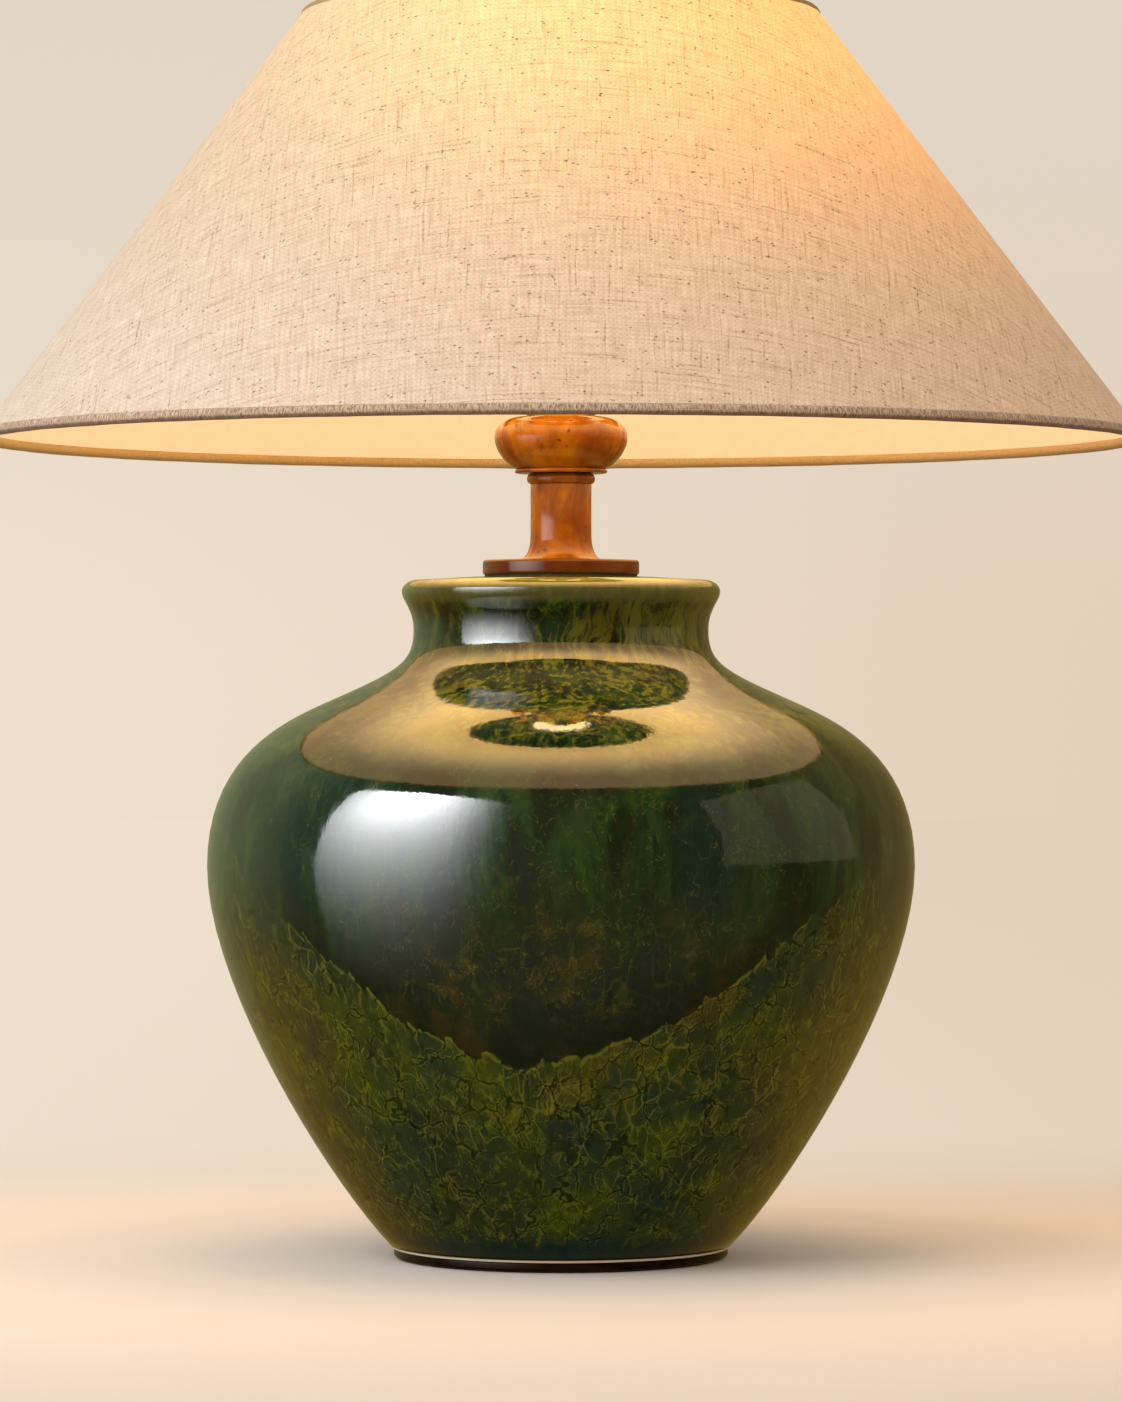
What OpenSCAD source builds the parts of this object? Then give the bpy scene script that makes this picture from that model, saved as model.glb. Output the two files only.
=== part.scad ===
// Bedside lamp: a glazed jar on a dark turned foot, a turned wooden neck,
// and a coolie shade carried on a harp. Z is up and z = 0 is the table.

/* [Foot] */
// Thickness of the felt under the foot plate
felt_t = 0.8; // [0.5:0.1:2]
// Radius of the felt
felt_r = 62; // [50:0.5:63]
// Radius of the foot plate
plate_r = 64.6; // [60:0.2:65.2]
// Thickness of the foot plate's visible rim
plate_t = 3.2; // [2:0.2:6]
// Height of the spigot that centres the jar on the plate
spigot_h = 5; // [3:0.5:8]
// Radial play between the spigot and the jar
spigot_play = 0.4; // [0.2:0.1:1]

/* [Jar] */
// Height of the jar, foot to neck seat
jar_h = 259; // [245:1:275]
// Thickness of the jar's wall
jar_wall = 6; // [4:0.5:8]
// Radius of the glazed foot
foot_r = 66; // [65.6:0.2:70]
// Flare of the jar above its foot, from upright
foot_flare = 43.5; // [35:0.5:50]
// Largest radius of the jar
belly_r = 136.8; // [125:0.2:150]
// Height of the belly above the foot
belly_h = 147.4; // [135:0.2:160]
// Radius where the shoulder turns into the neck
shoulder_r = 88.6; // [84:0.2:95]
// Drop from the neck seat to that turn
shoulder_drop = 47.5; // [44:0.5:55]
// Slope of the shoulder there, from upright
shoulder_slope = 66; // [60:1:72]
// Smallest radius of the jar's neck
throat_r = 57.1; // [52:0.1:60]
// Drop from the neck seat to the throat
throat_drop = 20.5; // [18:0.5:24]
// Largest radius of the lip
lip_r = 61.6; // [60:0.1:66]
// Height of the rounded lip
lip_h = 4.3; // [3:0.1:6]
// Drop from the neck seat to the lip's crest
crest_drop = 1.2; // [0.4:0.1:3]
// Height of the jar's floor above the foot
floor_h = 26; // [20:1:40]

/* [Cord inlet] */
// Height of the inlet's middle above the foot
inlet_h = 12; // [11:0.5:16]
// Bore of the grommet that the lead passes through
cord_bore_r = 3.4; // [2.5:0.1:4]
// Radius of the grommet's barrel
grommet_r = 5.2; // [4.5:0.1:6]
// Radius of the grommet's outer flange
grommet_flange_r = 7.6; // [7:0.1:9]

/* [Turned neck] */
// Thickness of the gasket between jar and neck
gasket_t = 0.8; // [0.5:0.1:2]
// Radius of the neck's base disc
disc_r = 30.3; // [26:0.1:36]
// Thickness of the neck's base disc
disc_t = 5.8; // [4:0.2:9]
// Radius of the cove where it meets the disc
cove_r = 16; // [14:0.2:20]
// Height of the cove
cove_h = 9.5; // [6:0.5:14]
// Radius of the column
column_r = 11.8; // [10:0.1:13]
// Length from the disc to the collar
column_h = 29.4; // [20:0.2:60]
// Radius of the collar
collar_r = 13.2; // [12.5:0.1:16]
// Height of the collar
collar_h = 4.2; // [3:0.2:8]
// Radius of the thin flange under the knob
flange_r = 17.9; // [16:0.1:20]
// Thickness of that flange
flange_t = 1.7; // [1:0.1:3]
// Largest radius of the knob
knob_r = 25.8; // [23:0.1:30]
// Height of the knob above its flange
knob_h = 20.3; // [16:0.1:26]
// Radius of the brass ring on the knob
check_ring_r = 13.6; // [10:0.1:16]
// Thickness of that ring
check_ring_t = 1.2; // [0.8:0.1:2]

/* [Lamp pipe] */
// Radius of the threaded pipe
pipe_r = 5; // [4.6:0.1:5.4]
// Bore radius of the pipe
pipe_bore_r = 3.6; // [3:0.1:3.8]
// Radial play round the pipe
pipe_play = 0.3; // [0.15:0.05:0.6]
// Width across the flats of the pipe nut
nut_flats = 17; // [15:0.5:20]
// Thickness of the pipe nut
nut_t = 4; // [3:0.5:6]
// Radius of the flat washer
washer_r = 16; // [12:0.5:20]
// Thickness of the flat washer
washer_t = 1.5; // [1:0.1:2.5]
// Thickness of the toothed lock washer
lock_t = 0.9; // [0.6:0.1:1.5]

/* [Socket] */
// Height of the brass cap
cap_h = 20; // [18:0.5:24]
// Radius of the brass cap's rim
cap_r = 17.3; // [17:0.1:18.5]
// Sheet thickness of cap and shell
sheet_t = 0.6; // [0.4:0.1:0.7]
// Height of the shell above the cap's rim
shell_h = 35; // [33:0.5:38]
// Height of the insulating switch body
switch_body_h = 16; // [14:0.5:17]
// Inner radius of the screw shell
screw_shell_r = 13.5; // [13.3:0.1:13.7]
// Radius of the switch key's grip
key_r = 5.2; // [4:0.1:7]
// Length of the switch key's grip
key_l = 15; // [10:0.5:22]
// Number of flutes round the key's grip
key_flutes = 10; // [6:1:14]

/* [Bulb] */
// Radius of the bulb's screw cap
bulb_cap_r = 13; // [12.8:0.05:13.1]
// Length of the bulb's screw cap
bulb_cap_h = 23; // [22:0.5:25]
// Largest radius of the bulb
bulb_r = 24; // [20:0.5:30]
// Height of the glass above its screw cap
bulb_h = 59; // [52:0.5:59]

/* [Harp] */
// Height of the harp, saddle to seat
harp_h = 144; // [142:1:170]
// Radius of the harp wire
harp_wire_r = 1.5; // [1.2:0.1:1.8]
// Radius of the bend where a leg leans out
bow_foot_r = 24; // [20:1:30]
// Length of a leg's leaning stretch
bow_lean_l = 14; // [10:1:18]
// Lean of that stretch, from upright
bow_lean = 32; // [25:1:36]
// Radius of the bend above it
bow_side_r = 36; // [30:1:45]
// Upright length where the harp is widest
bow_side_l = 8; // [4:1:14]
// Radius of the harp's shoulder
bow_shoulder_r = 56; // [50:1:60]
// Straight length between shoulder and crown
bow_facet_l = 3; // [2:0.5:6]
// Radius of the harp's crown
bow_crown_r = 20; // [17:1:22]
// Drop from the harp's seat to the wire's middle
hub_drop = 3.2; // [2.8:0.1:4]
// Radius of the hub that the wire is cast into
hub_r = 5; // [4.5:0.1:6]
// Distance of each prong from the middle
prong_x = 24; // [23:0.5:27]
// Thickness of the saddle strip
saddle_t = 1.6; // [1.2:0.1:2]
// Width of the saddle strip
saddle_w = 14; // [12:0.5:18]
// Height of the saddle's prongs
prong_h = 10; // [8:0.5:11]
// Height of each sliding ferrule
ferrule_h = 12; // [10:0.5:14]
// Radius of each ferrule
ferrule_r = 5.1; // [5:0.1:5.6]
// Radius of the harp's threaded stud
stud_r = 3.1; // [2.6:0.1:3.3]
// Length of the stud above the harp's seat
stud_h = 11; // [9:0.5:14]

/* [Finial] */
// Radius of the finial's ball
finial_r = 10.5; // [9:0.5:14]
// Height of the finial above its brass bush
finial_h = 22; // [20:0.5:30]
// Height of the brass bush under the finial
bush_h = 5; // [4:0.5:7]
// Radius of the brass bush
bush_r = 7.6; // [6.5:0.1:9]

/* [Shade] */
// Bottom radius of the linen cover
shade_bottom_r = 224.4; // [200:0.2:250]
// Top radius of the linen cover
shade_top_r = 99; // [85:0.5:110]
// Upright height of the linen cover
shade_h = 165.1; // [150:0.1:185]
// Thickness of the linen cover
cover_t = 0.7; // [0.5:0.1:1]
// Thickness of the stiff lining
lining_t = 0.4; // [0.3:0.1:0.6]
// Radius of the shade's ring wires
ring_wire_r = 0.95; // [0.9:0.05:1.2]
// Radius of the spider's arms
arm_r = 0.85; // [0.7:0.05:0.9]
// Radius of the rolled linen edge
roll_r = 2.1; // [2:0.05:2.4]
// Drop from the shade's top edge to the spider's washer
spider_drop = 11.4; // [8:0.1:20]
// Number of spider arms
spider_arms = 3; // [3:1:4]
// Radius of the spider's washer
spider_washer_r = 13; // [11:0.5:16]
// Thickness of the spider's washer
spider_washer_t = 1.6; // [1.2:0.1:2]

/* [Hidden] */
$fn = 96;
eps = 0.05;     // overshoot of a cut
fit = 0.05;     // play of a press or glue joint
seat_gap = 0.1; // play between seats that turn on each other
run = 0.08;     // radial play of a running fit

// Heights, stacked from the table up.
plate_z = felt_t;
foot_z = plate_z + plate_t;
seat_z = foot_z + jar_h;
disc_z = seat_z + gasket_t;
collar_z = disc_z + disc_t + column_h;
flange_z = collar_z + collar_h;
knob_z = flange_z + flange_t;
check_ring_z = knob_z + knob_h;
saddle_z = check_ring_z + check_ring_t;
socket_z = saddle_z + saddle_t;
harp_seat_z = saddle_z + harp_h;
washer_seat_z = harp_seat_z + seat_gap;
shade_top_z = washer_seat_z + spider_drop;
shade_z = shade_top_z - shade_h;
finial_z = washer_seat_z + spider_washer_t + seat_gap;

// A cubic curve between p0 and p3, as n + 1 points.
function curve(p0, p1, p2, p3, n) =
    [for (i = [0:n]) let (t = i / n, s = 1 - t)
        s * s * s * p0 + 3 * s * s * t * p1 + 3 * s * t * t * p2 + t * t * t * p3];
// The points of a list but its first.
function rest(points) = [for (i = [1:len(points) - 1]) points[i]];
// A path moved to its left by d.
function inset(path, d) =
    [for (i = [0:len(path) - 1])
        let (a = path[max(i - 1, 0)],
             b = path[min(i + 1, len(path) - 1)],
             along = (b - a) / norm(b - a))
        path[i] + d * [-along[1], along[0]]];

// A round washer or tube.
module tube(r_out, r_in, h) {
    difference() {
        cylinder(r = r_out, h = h);
        translate([0, 0, -eps]) cylinder(r = r_in, h = h + 2 * eps);
    }
}
// A disc section, from the axis to r, with both outer edges rounded by e.
module disc_section(r, h, e) {
    square([r - e, h]);
    translate([0, e]) square([r, h - 2 * e]);
    for (z = [e, h - e]) translate([r - e, z]) circle(r = e, $fn = 32);
}
module pipe_hole(z, h) {
    translate([0, 0, z - eps]) cylinder(r = pipe_r + pipe_play, h = h + 2 * eps);
}

// Foot

recess_r = foot_r - 8; // inner radius of the jar's foot ring
module felt_pad() {
    color("darkolivegreen") cylinder(r = felt_r, h = felt_t);
}
module foot_plate() {
    edge = min(0.8, plate_t / 3);
    color([0.16, 0.08, 0.05]) translate([0, 0, plate_z]) {
        rotate_extrude() disc_section(plate_r, plate_t, edge);
        tube(recess_r - spigot_play, recess_r - 12, plate_t + spigot_h);
    }
}

// Jar

foot_tip = [foot_r, foot_z + 1];
belly = [belly_r, foot_z + belly_h];
shoulder = [shoulder_r, seat_z - shoulder_drop];
throat = [throat_r, seat_z - throat_drop];
lip = [lip_r, seat_z - crest_drop - lip_h];
crest = [lip_r - lip_h - 0.8, seat_z - crest_drop];
up = [0, 1];
out = [1, 0];
lean = [-sin(shoulder_slope), cos(shoulder_slope)];
flare = [sin(foot_flare), cos(foot_flare)];
// Pulls of the curves on the jar's outline, each as the one below and the one above its point.
foot_pull = 35.4;
belly_pull = [45.4, 43.3];
shoulder_pull = [19.4, 27.7];
throat_pull = [12.8, 8.5];
lip_pull = 4;
body_path = concat(
    curve(foot_tip, foot_tip + foot_pull * flare, belly - belly_pull[0] * up, belly, 16),
    rest(curve(belly, belly + belly_pull[1] * up, shoulder - shoulder_pull[0] * lean, shoulder, 14)),
    rest(curve(shoulder, shoulder + shoulder_pull[1] * lean, throat - throat_pull[0] * up, throat, 10)),
    rest(curve(throat, throat + throat_pull[1] * up, lip - lip_pull * up, lip, 8)));
lip_path = rest(curve(lip, lip + lip_h * 0.55 * up, crest + lip_h * 0.55 * out, crest, 8));
jar_top_t = jar_wall + crest_drop;
function jar_radius(z) = lookup(z, [for (p = body_path) [p[1], p[0]]]);

module jar_section() {
    inner = inset(body_path, jar_wall);
    rim = foot_r - 0.7; // the bare clay ring stands in from the glaze
    difference() {
        polygon(concat([[0, foot_z], [rim, foot_z], [rim, foot_z + 0.8]], body_path, lip_path,
                       [[disc_r + 1, seat_z], [0, seat_z]]));
        intersection() {
            polygon(concat([[0, foot_z - 1], [recess_r, foot_z - 1], [recess_r, foot_z + 4]], inner,
                           [[0, seat_z]]));
            union() {
                translate([0, foot_z - 1]) square([belly_r, floor_h + 1]);
                translate([0, foot_z + floor_h + jar_wall])
                    square([belly_r, jar_h - floor_h - jar_wall - jar_top_t]);
            }
        }
    }
}
// The inlet's frame: its Z points out of the jar's back wall, square to it.
inlet_z = foot_z + inlet_h;
inlet_r = jar_radius(inlet_z);
inlet_tilt = atan2(jar_radius(inlet_z + 3) - jar_radius(inlet_z - 3), 6);
module at_inlet() {
    translate([0, inlet_r, inlet_z]) rotate([-90 - inlet_tilt, 0, 0]) children();
}
module jar() {
    color([0.12, 0.28, 0.16]) difference() {
        rotate_extrude() jar_section();
        pipe_hole(foot_z, jar_h);
        at_inlet() translate([0, 0, -2 * jar_wall]) cylinder(r = grommet_r + fit, h = 3 * jar_wall);
    }
}
module cord_grommet() {
    lift = 0.4;        // clears the wall's curve inside
    outer_t = 2;
    inner_t = 1.5;
    color([0.1, 0.1, 0.1]) at_inlet() difference() {
        union() {
            translate([0, 0, fit]) cylinder(r = grommet_flange_r, h = outer_t);
            translate([0, 0, -jar_wall - lift]) cylinder(r = grommet_r, h = jar_wall + lift + 1);
            translate([0, 0, -jar_wall - lift - inner_t]) cylinder(r = grommet_r + 1.2, h = inner_t);
        }
        translate([0, 0, -2 * jar_wall]) cylinder(r = cord_bore_r, h = 3 * jar_wall);
    }
}

// Lamp pipe and its fastening under the jar's floor

floor_z = foot_z + floor_h;
washer_z = floor_z - washer_t;
lock_z = washer_z - lock_t;
nut_z = lock_z - nut_t;
module flat_washer() {
    color("silver") translate([0, 0, washer_z]) tube(washer_r, pipe_r + pipe_play, washer_t);
}
module lock_washer() {
    teeth = 10;
    color("silver") translate([0, 0, lock_z]) difference() {
        tube(9, pipe_r + pipe_play, lock_t);
        for (i = [0:teeth - 1]) rotate(i * 360 / teeth)
            translate([8, -0.7, -eps]) cube([2, 1.4, lock_t + 2 * eps]);
    }
}
module pipe_nut() {
    color("goldenrod") translate([0, 0, nut_z]) difference() {
        cylinder(r = nut_flats / sqrt(3), h = nut_t, $fn = 6);
        translate([0, 0, -eps]) cylinder(r = pipe_r + fit, h = nut_t + 2 * eps);
    }
}
hub_h = 6;
module lamp_pipe() {
    foot = nut_z - 2;
    color("silver") translate([0, 0, foot]) tube(pipe_r, pipe_bore_r, socket_z + hub_h - 1 - foot);
}

// Turned neck

module neck_gasket() {
    color([0.25, 0.18, 0.12]) difference() {
        translate([0, 0, seat_z]) cylinder(r = disc_r - 0.8, h = gasket_t);
        pipe_hole(seat_z, gasket_t);
    }
}
module neck_column() {
    cove = curve([cove_r, disc_t], [cove_r - 2.6, disc_t + 1.2], [column_r, disc_t + cove_h * 0.42],
                 [column_r, disc_t + cove_h], 10);
    color([0.55, 0.28, 0.1]) difference() {
        translate([0, 0, disc_z]) rotate_extrude() {
            disc_section(disc_r, disc_t, 1.2);
            polygon(concat([[0, disc_t - eps], [cove_r, disc_t - eps]], cove,
                           [[column_r, disc_t + column_h], [0, disc_t + column_h]]));
        }
        pipe_hole(disc_z, disc_t + column_h);
    }
}
module neck_collar() {
    color([0.5, 0.24, 0.09]) difference() {
        translate([0, 0, collar_z]) rotate_extrude() disc_section(collar_r, collar_h, 1.3);
        pipe_hole(collar_z, collar_h);
    }
}
module neck_knob() {
    wide = [knob_r, 0.61 * knob_h];
    root = [flange_r - 0.8, 0];
    top = [check_ring_r, knob_h];
    side = concat(curve(root, root + [3.4, 1.3], wide - [0, 5.8], wide, 12),
                  rest(curve(wide, wide + [0, 5], top + [7, 0], top, 10)));
    color([0.57, 0.29, 0.1]) difference() {
        union() {
            translate([0, 0, flange_z]) rotate_extrude() disc_section(flange_r, flange_t, 0.5);
            translate([0, 0, knob_z]) rotate_extrude()
                polygon(concat([[0, -eps], root - [0, eps]], side, [[0, knob_h]]));
        }
        pipe_hole(flange_z, flange_t + knob_h);
    }
}
module check_ring() {
    color("darkgoldenrod") translate([0, 0, check_ring_z])
        tube(check_ring_r - 0.3, pipe_r + pipe_play, check_ring_t);
}

// Harp

leg_x = prong_x + saddle_t / 2 + harp_wire_r + fit; // the wire stands outside its prong
leg_z = saddle_z + saddle_t + 2;
ferrule_z = saddle_z + saddle_t + 0.3;
module harp_saddle() {
    prong_w = 4;
    color("goldenrod") difference() {
        union() {
            translate([-prong_x - saddle_t / 2, -saddle_w / 2, saddle_z])
                cube([2 * prong_x + saddle_t, saddle_w, saddle_t]);
            for (side = [-1, 1]) translate([side * prong_x - saddle_t / 2, -prong_w / 2, saddle_z])
                cube([saddle_t, prong_w, prong_h]);
        }
        pipe_hole(saddle_z, saddle_t);
        for (side = [-1, 1], edge = [-1, 1]) // the arms narrow towards the prongs
            translate([side * (prong_x + 6), edge * (saddle_w / 2 + 4), saddle_z - eps])
                cylinder(r = 9.5, h = saddle_t + 2 * eps);
    }
}
// A bent wire, as steps: straight lengths with arcs between, each as [radius, turn] with a
// left turn positive. It sets out along Z and bends in the XZ plane. Every arc is a hair
// thinner than its neighbours and runs a degree into them, which joins them soundly.
function heading(steps, i) =
    i == 0 ? 0 : heading(steps, i - 1) + (is_list(steps[i - 1]) ? steps[i - 1][1] : 0);
function step_vector(steps, i) =
    let (s = steps[i], a = heading(steps, i))
    is_list(s)
        ? let (c = sign(s[1]) * s[0], b = a + s[1]) c * [cos(b) - cos(a), sin(b) - sin(a)]
        : s * [-sin(a), cos(a)];
function step_start(steps, i) = i == 0 ? [0, 0] : step_start(steps, i - 1) + step_vector(steps, i - 1);
function wire_end(steps) = step_start(steps, len(steps));
module wire_run(steps, r) {
    for (i = [0:len(steps) - 1]) {
        s = steps[i];
        a = heading(steps, i);
        at = step_start(steps, i);
        translate([at[0], 0, at[1]])
            if (is_list(s)) {
                translate(-sign(s[1]) * s[0] * [cos(a), 0, sin(a)]) rotate([90, 0, 0])
                    rotate((s[1] > 0 ? a : a + s[1] + 180) - 1) rotate_extrude(angle = abs(s[1]) + 2)
                        translate([s[0], 0]) circle(r = r - 0.05, $fn = 24);
            } else {
                rotate([0, -a, 0]) cylinder(r = r, h = s, $fn = 24);
            }
    }
}
bow = [[bow_foot_r, -bow_lean], bow_lean_l, [bow_side_r, bow_lean], bow_side_l,
       [bow_shoulder_r, 45], bow_facet_l, [bow_crown_r, 45]];
bow_z = harp_seat_z - hub_drop - wire_end(bow)[1]; // where the straight legs end
module harp_side() {
    translate([leg_x, 0, leg_z])
        wire_run(concat([bow_z - leg_z], bow, [leg_x + wire_end(bow)[0]]), harp_wire_r);
}
module harp_wire() {
    color("goldenrod") difference() {
        union() {
            harp_side();
            mirror([1, 0, 0]) harp_side();
        }
        translate([0, 0, harp_seat_z - hub_drop]) // the hub is cast round the wire's middle
            cylinder(r = hub_r + fit, h = 4 * harp_wire_r, center = true);
    }
}
module harp_stud() {
    color("darkgoldenrod") {
        translate([0, 0, harp_seat_z - hub_drop - 3]) cylinder(r = hub_r, h = hub_drop + 3);
        translate([0, 0, harp_seat_z - 1.2]) cylinder(r = 9, h = 1.2);
        translate([0, 0, harp_seat_z]) cylinder(r = stud_r, h = stud_h);
    }
}
module harp_ferrule(side) {
    bell_h = ferrule_h - 3;
    color("gold") translate([side * leg_x, 0, ferrule_z]) difference() {
        union() {
            cylinder(r = ferrule_r, h = bell_h);
            translate([0, 0, bell_h]) cylinder(r1 = ferrule_r, r2 = harp_wire_r + 1, h = ferrule_h - bell_h);
        }
        translate([0, 0, -eps]) cylinder(r = ferrule_r - 0.6, h = bell_h);
        cylinder(r = harp_wire_r + run, h = ferrule_h + 1);
    }
}

// Socket, with its switch

rim_h = 4;
shell_z = socket_z + cap_h - rim_h + 1;
shell_top_z = socket_z + cap_h + shell_h;
shell_r = cap_r - sheet_t - fit;
liner_r = shell_r - sheet_t - fit;
liner_t = 0.7;
body_r = liner_r - liner_t - 0.3;
body_z = shell_z;
screw_z = body_z + switch_body_h;
key_z = body_z + 8;
stem_r = 1.6;
module socket_cap() {
    boss_r = 7.6;
    outer = curve([boss_r, hub_h - 1], [boss_r + 2, hub_h + 3], [cap_r, hub_h + 2], [cap_r, cap_h - rim_h], 12);
    color("goldenrod") difference() {
        translate([0, 0, socket_z]) rotate_extrude() {
            difference() {
                polygon(concat([[0, 0], [boss_r, 0]], outer, [[cap_r, cap_h], [0, cap_h]]));
                polygon(concat([[0, hub_h]], inset(outer, sheet_t),
                               [[cap_r - sheet_t, cap_h + 1], [0, cap_h + 1]]));
            }
        }
        translate([0, 0, socket_z - eps]) cylinder(r = pipe_r + fit, h = hub_h + 3);
        translate([0, 0, socket_z + 3]) rotate([-90, 0, 0]) cylinder(r = 1.3, h = 10);
    }
}
module set_screw() {
    color("dimgray") translate([0, pipe_r + 0.2, socket_z + 3]) rotate([-90, 0, 0]) difference() {
        cylinder(r = 1.3 - fit, h = 3.4);
        translate([-2, -0.3, 2.6]) cube([4, 0.6, 2]);
    }
}
module stem_hole(r) {
    translate([0, 0, key_z]) rotate([90, 0, 0]) cylinder(r = r, h = 30);
}
module socket_shell() {
    color("goldenrod") difference() {
        union() {
            translate([0, 0, shell_z]) cylinder(r = shell_r, h = shell_top_z - shell_z);
            translate([0, 0, shell_top_z - 1.2]) rotate_extrude()
                translate([shell_r - 0.4, 0]) circle(r = 1, $fn = 24);
        }
        translate([0, 0, shell_z - 2]) cylinder(r = shell_r - sheet_t, h = shell_top_z - shell_z + 4);
        stem_hole(stem_r + 0.8);
    }
}
module socket_liner() {
    color("tan") difference() {
        translate([0, 0, shell_z]) tube(liner_r, liner_r - liner_t, shell_top_z - shell_z - 1);
        stem_hole(stem_r + 0.8);
    }
}
flat_x = body_r - 3; // flats on the switch body hold the terminals
terminal_z = body_z + 6;
terminal_r = 1.5;
terminal_l = 3.5;
contact_r = 3.2;
contact_sink = 1;
module switch_body() {
    pocket = [10, 16, 9];
    color([0.12, 0.1, 0.09]) difference() {
        translate([0, 0, body_z]) cylinder(r = body_r, h = switch_body_h);
        for (side = [-1, 1]) {
            translate([side * (flat_x + pocket[0] / 2), 0, terminal_z]) cube(pocket, center = true);
            translate([side * flat_x, 0, terminal_z]) rotate([0, -side * 90, 0])
                cylinder(r = terminal_r + fit, h = terminal_l + 0.5);
        }
        translate([0, -body_r / 2, key_z]) rotate([90, 0, 0]) cylinder(r = stem_r + run, h = body_r);
        translate([0, 0, screw_z - contact_sink]) cylinder(r = contact_r + fit, h = 2 * contact_sink);
    }
}
module screw_shell() {
    wall = 0.35;
    shell_l = shell_top_z - screw_z - 2;
    window_r = 6; // the centre contact stands in this hole
    color("silver") translate([0, 0, screw_z]) difference() {
        cylinder(r = screw_shell_r + wall, h = shell_l);
        translate([0, 0, wall]) cylinder(r = screw_shell_r, h = shell_l);
        translate([0, 0, -eps]) cylinder(r = window_r, h = wall + 2 * eps);
    }
}
contact_h = 1.2;
contact_top_z = screw_z + contact_h;
module centre_contact() {
    color("gold") {
        translate([0, 0, screw_z - contact_sink]) cylinder(r = contact_r, h = contact_sink);
        translate([0, 0, screw_z]) cylinder(r = contact_r - 0.8, h = contact_h);
    }
}
module terminal_screws() {
    head_r = 2.6;
    head_h = 1.6;
    slot_w = 0.7;
    slot_d = 0.5;
    color("gold") for (side = [-1, 1])
        translate([side * flat_x, 0, terminal_z]) rotate([0, side * 90, 0]) difference() {
            union() {
                translate([0, 0, fit]) cylinder(r = head_r, h = head_h);
                translate([0, 0, -terminal_l]) cylinder(r = terminal_r, h = terminal_l + 2 * fit);
            }
            translate([-head_r - eps, -slot_w / 2, head_h - slot_d])
                cube([2 * (head_r + eps), slot_w, 2 * slot_d]);
        }
}
key_y = -(cap_r + 5);
key_grip = 6;                  // depth of the stem in the key
stem_y = -body_r / 2 - 0.5;    // the stem's inner end
module switch_stem() {
    color("gold") translate([0, stem_y, key_z]) rotate([90, 0, 0])
        cylinder(r = stem_r, h = stem_y - key_y + key_grip);
}
module switch_key() {
    key_collar_l = 3;
    flute_r = 0.9;
    color([0.08, 0.06, 0.05]) translate([0, key_y, key_z]) rotate([90, 0, 0]) difference() {
        rotate_extrude() disc_section(key_r, key_l, 1.2);
        for (i = [0:key_flutes - 1]) rotate(i * 360 / key_flutes)
            translate([key_r + 0.3, 0, key_collar_l]) cylinder(r = flute_r, h = key_l, $fn = 24);
        translate([0, 0, -eps]) cylinder(r = stem_r + fit, h = key_grip + 0.5);
    }
}

// Bulb

bulb_z = contact_top_z + seat_gap;
button_h = 1;
button_r = 4.4;
cap_end_h = 4.5; // the cap's taper down to its button
glass_sink = 4;  // depth of the glass in the cap
glass_z = bulb_z + button_h + bulb_cap_h;
module bulb_contact() {
    color("silver") translate([0, 0, bulb_z]) cylinder(r = button_r, h = button_h);
}
module bulb_cap() {
    color("silver") translate([0, 0, bulb_z + button_h + fit]) difference() {
        union() {
            cylinder(r1 = button_r + 1, r2 = bulb_cap_r, h = cap_end_h);
            translate([0, 0, cap_end_h]) cylinder(r = bulb_cap_r, h = bulb_cap_h - cap_end_h - fit);
        }
        translate([0, 0, cap_end_h]) cylinder(r = bulb_cap_r - 0.6, h = bulb_cap_h);
    }
}
module bulb_glass() {
    neck = bulb_cap_r - 0.8;
    glass_t = 1;
    round = 0.552; // handle of a quarter circle, as a share of its radius
    wide = [bulb_r, bulb_h - bulb_r];
    side = concat([[neck, -glass_sink]], curve([neck, 2], [neck + 0.5, 12], wide - [0, 14], wide, 14),
                  rest(curve(wide, wide + [0, bulb_r * round], [bulb_r * round, bulb_h], [0, bulb_h], 14)));
    floor_y = glass_t - glass_sink;
    hollow = [for (p = inset(side, glass_t)) [max(p[0], 0), max(p[1], floor_y)]];
    color([0.98, 0.9, 0.75]) translate([0, 0, glass_z]) rotate_extrude() difference() {
        polygon(concat([[0, -glass_sink]], side));
        polygon(concat([[0, floor_y]], hollow));
    }
}

// Shade. A section is drawn flat against the slope: x out of the linen, y up the slope.

slope = atan2(shade_bottom_r - shade_top_r, shade_h);
slant = norm([shade_bottom_r - shade_top_r, shade_h]);
board_t = cover_t + fit + lining_t;
wire_n = -(board_t + fit + ring_wire_r);
wire_u = 0.9;                // the ring wires lie this far in from the sheets' edges
roll_n = -(board_t + 0.35);  // the roll's middle
module on_slope(u) {
    translate([shade_bottom_r, shade_z]) rotate(slope) translate([0, u]) children();
}
module roll_section() {
    difference() {
        circle(r = roll_r, $fn = 40);
        translate([wire_n - roll_n, 0]) circle(r = ring_wire_r + fit, $fn = 32);
        translate([-board_t - fit - roll_n, -wire_u - fit]) square([board_t + 2 * fit, roll_r * 2]);
    }
}
module shade_cover() {
    color([0.82, 0.72, 0.6]) rotate_extrude($fn = 180)
        on_slope(0) translate([-cover_t, 0]) square([cover_t, slant]);
}
module shade_lining() {
    color([0.96, 0.9, 0.78]) rotate_extrude($fn = 180)
        on_slope(0) translate([-board_t, 0]) square([lining_t, slant]);
}
module shade_bottom_ring() {
    color("silver") rotate_extrude($fn = 180)
        on_slope(wire_u) translate([wire_n, 0]) circle(r = ring_wire_r, $fn = 24);
}
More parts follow.
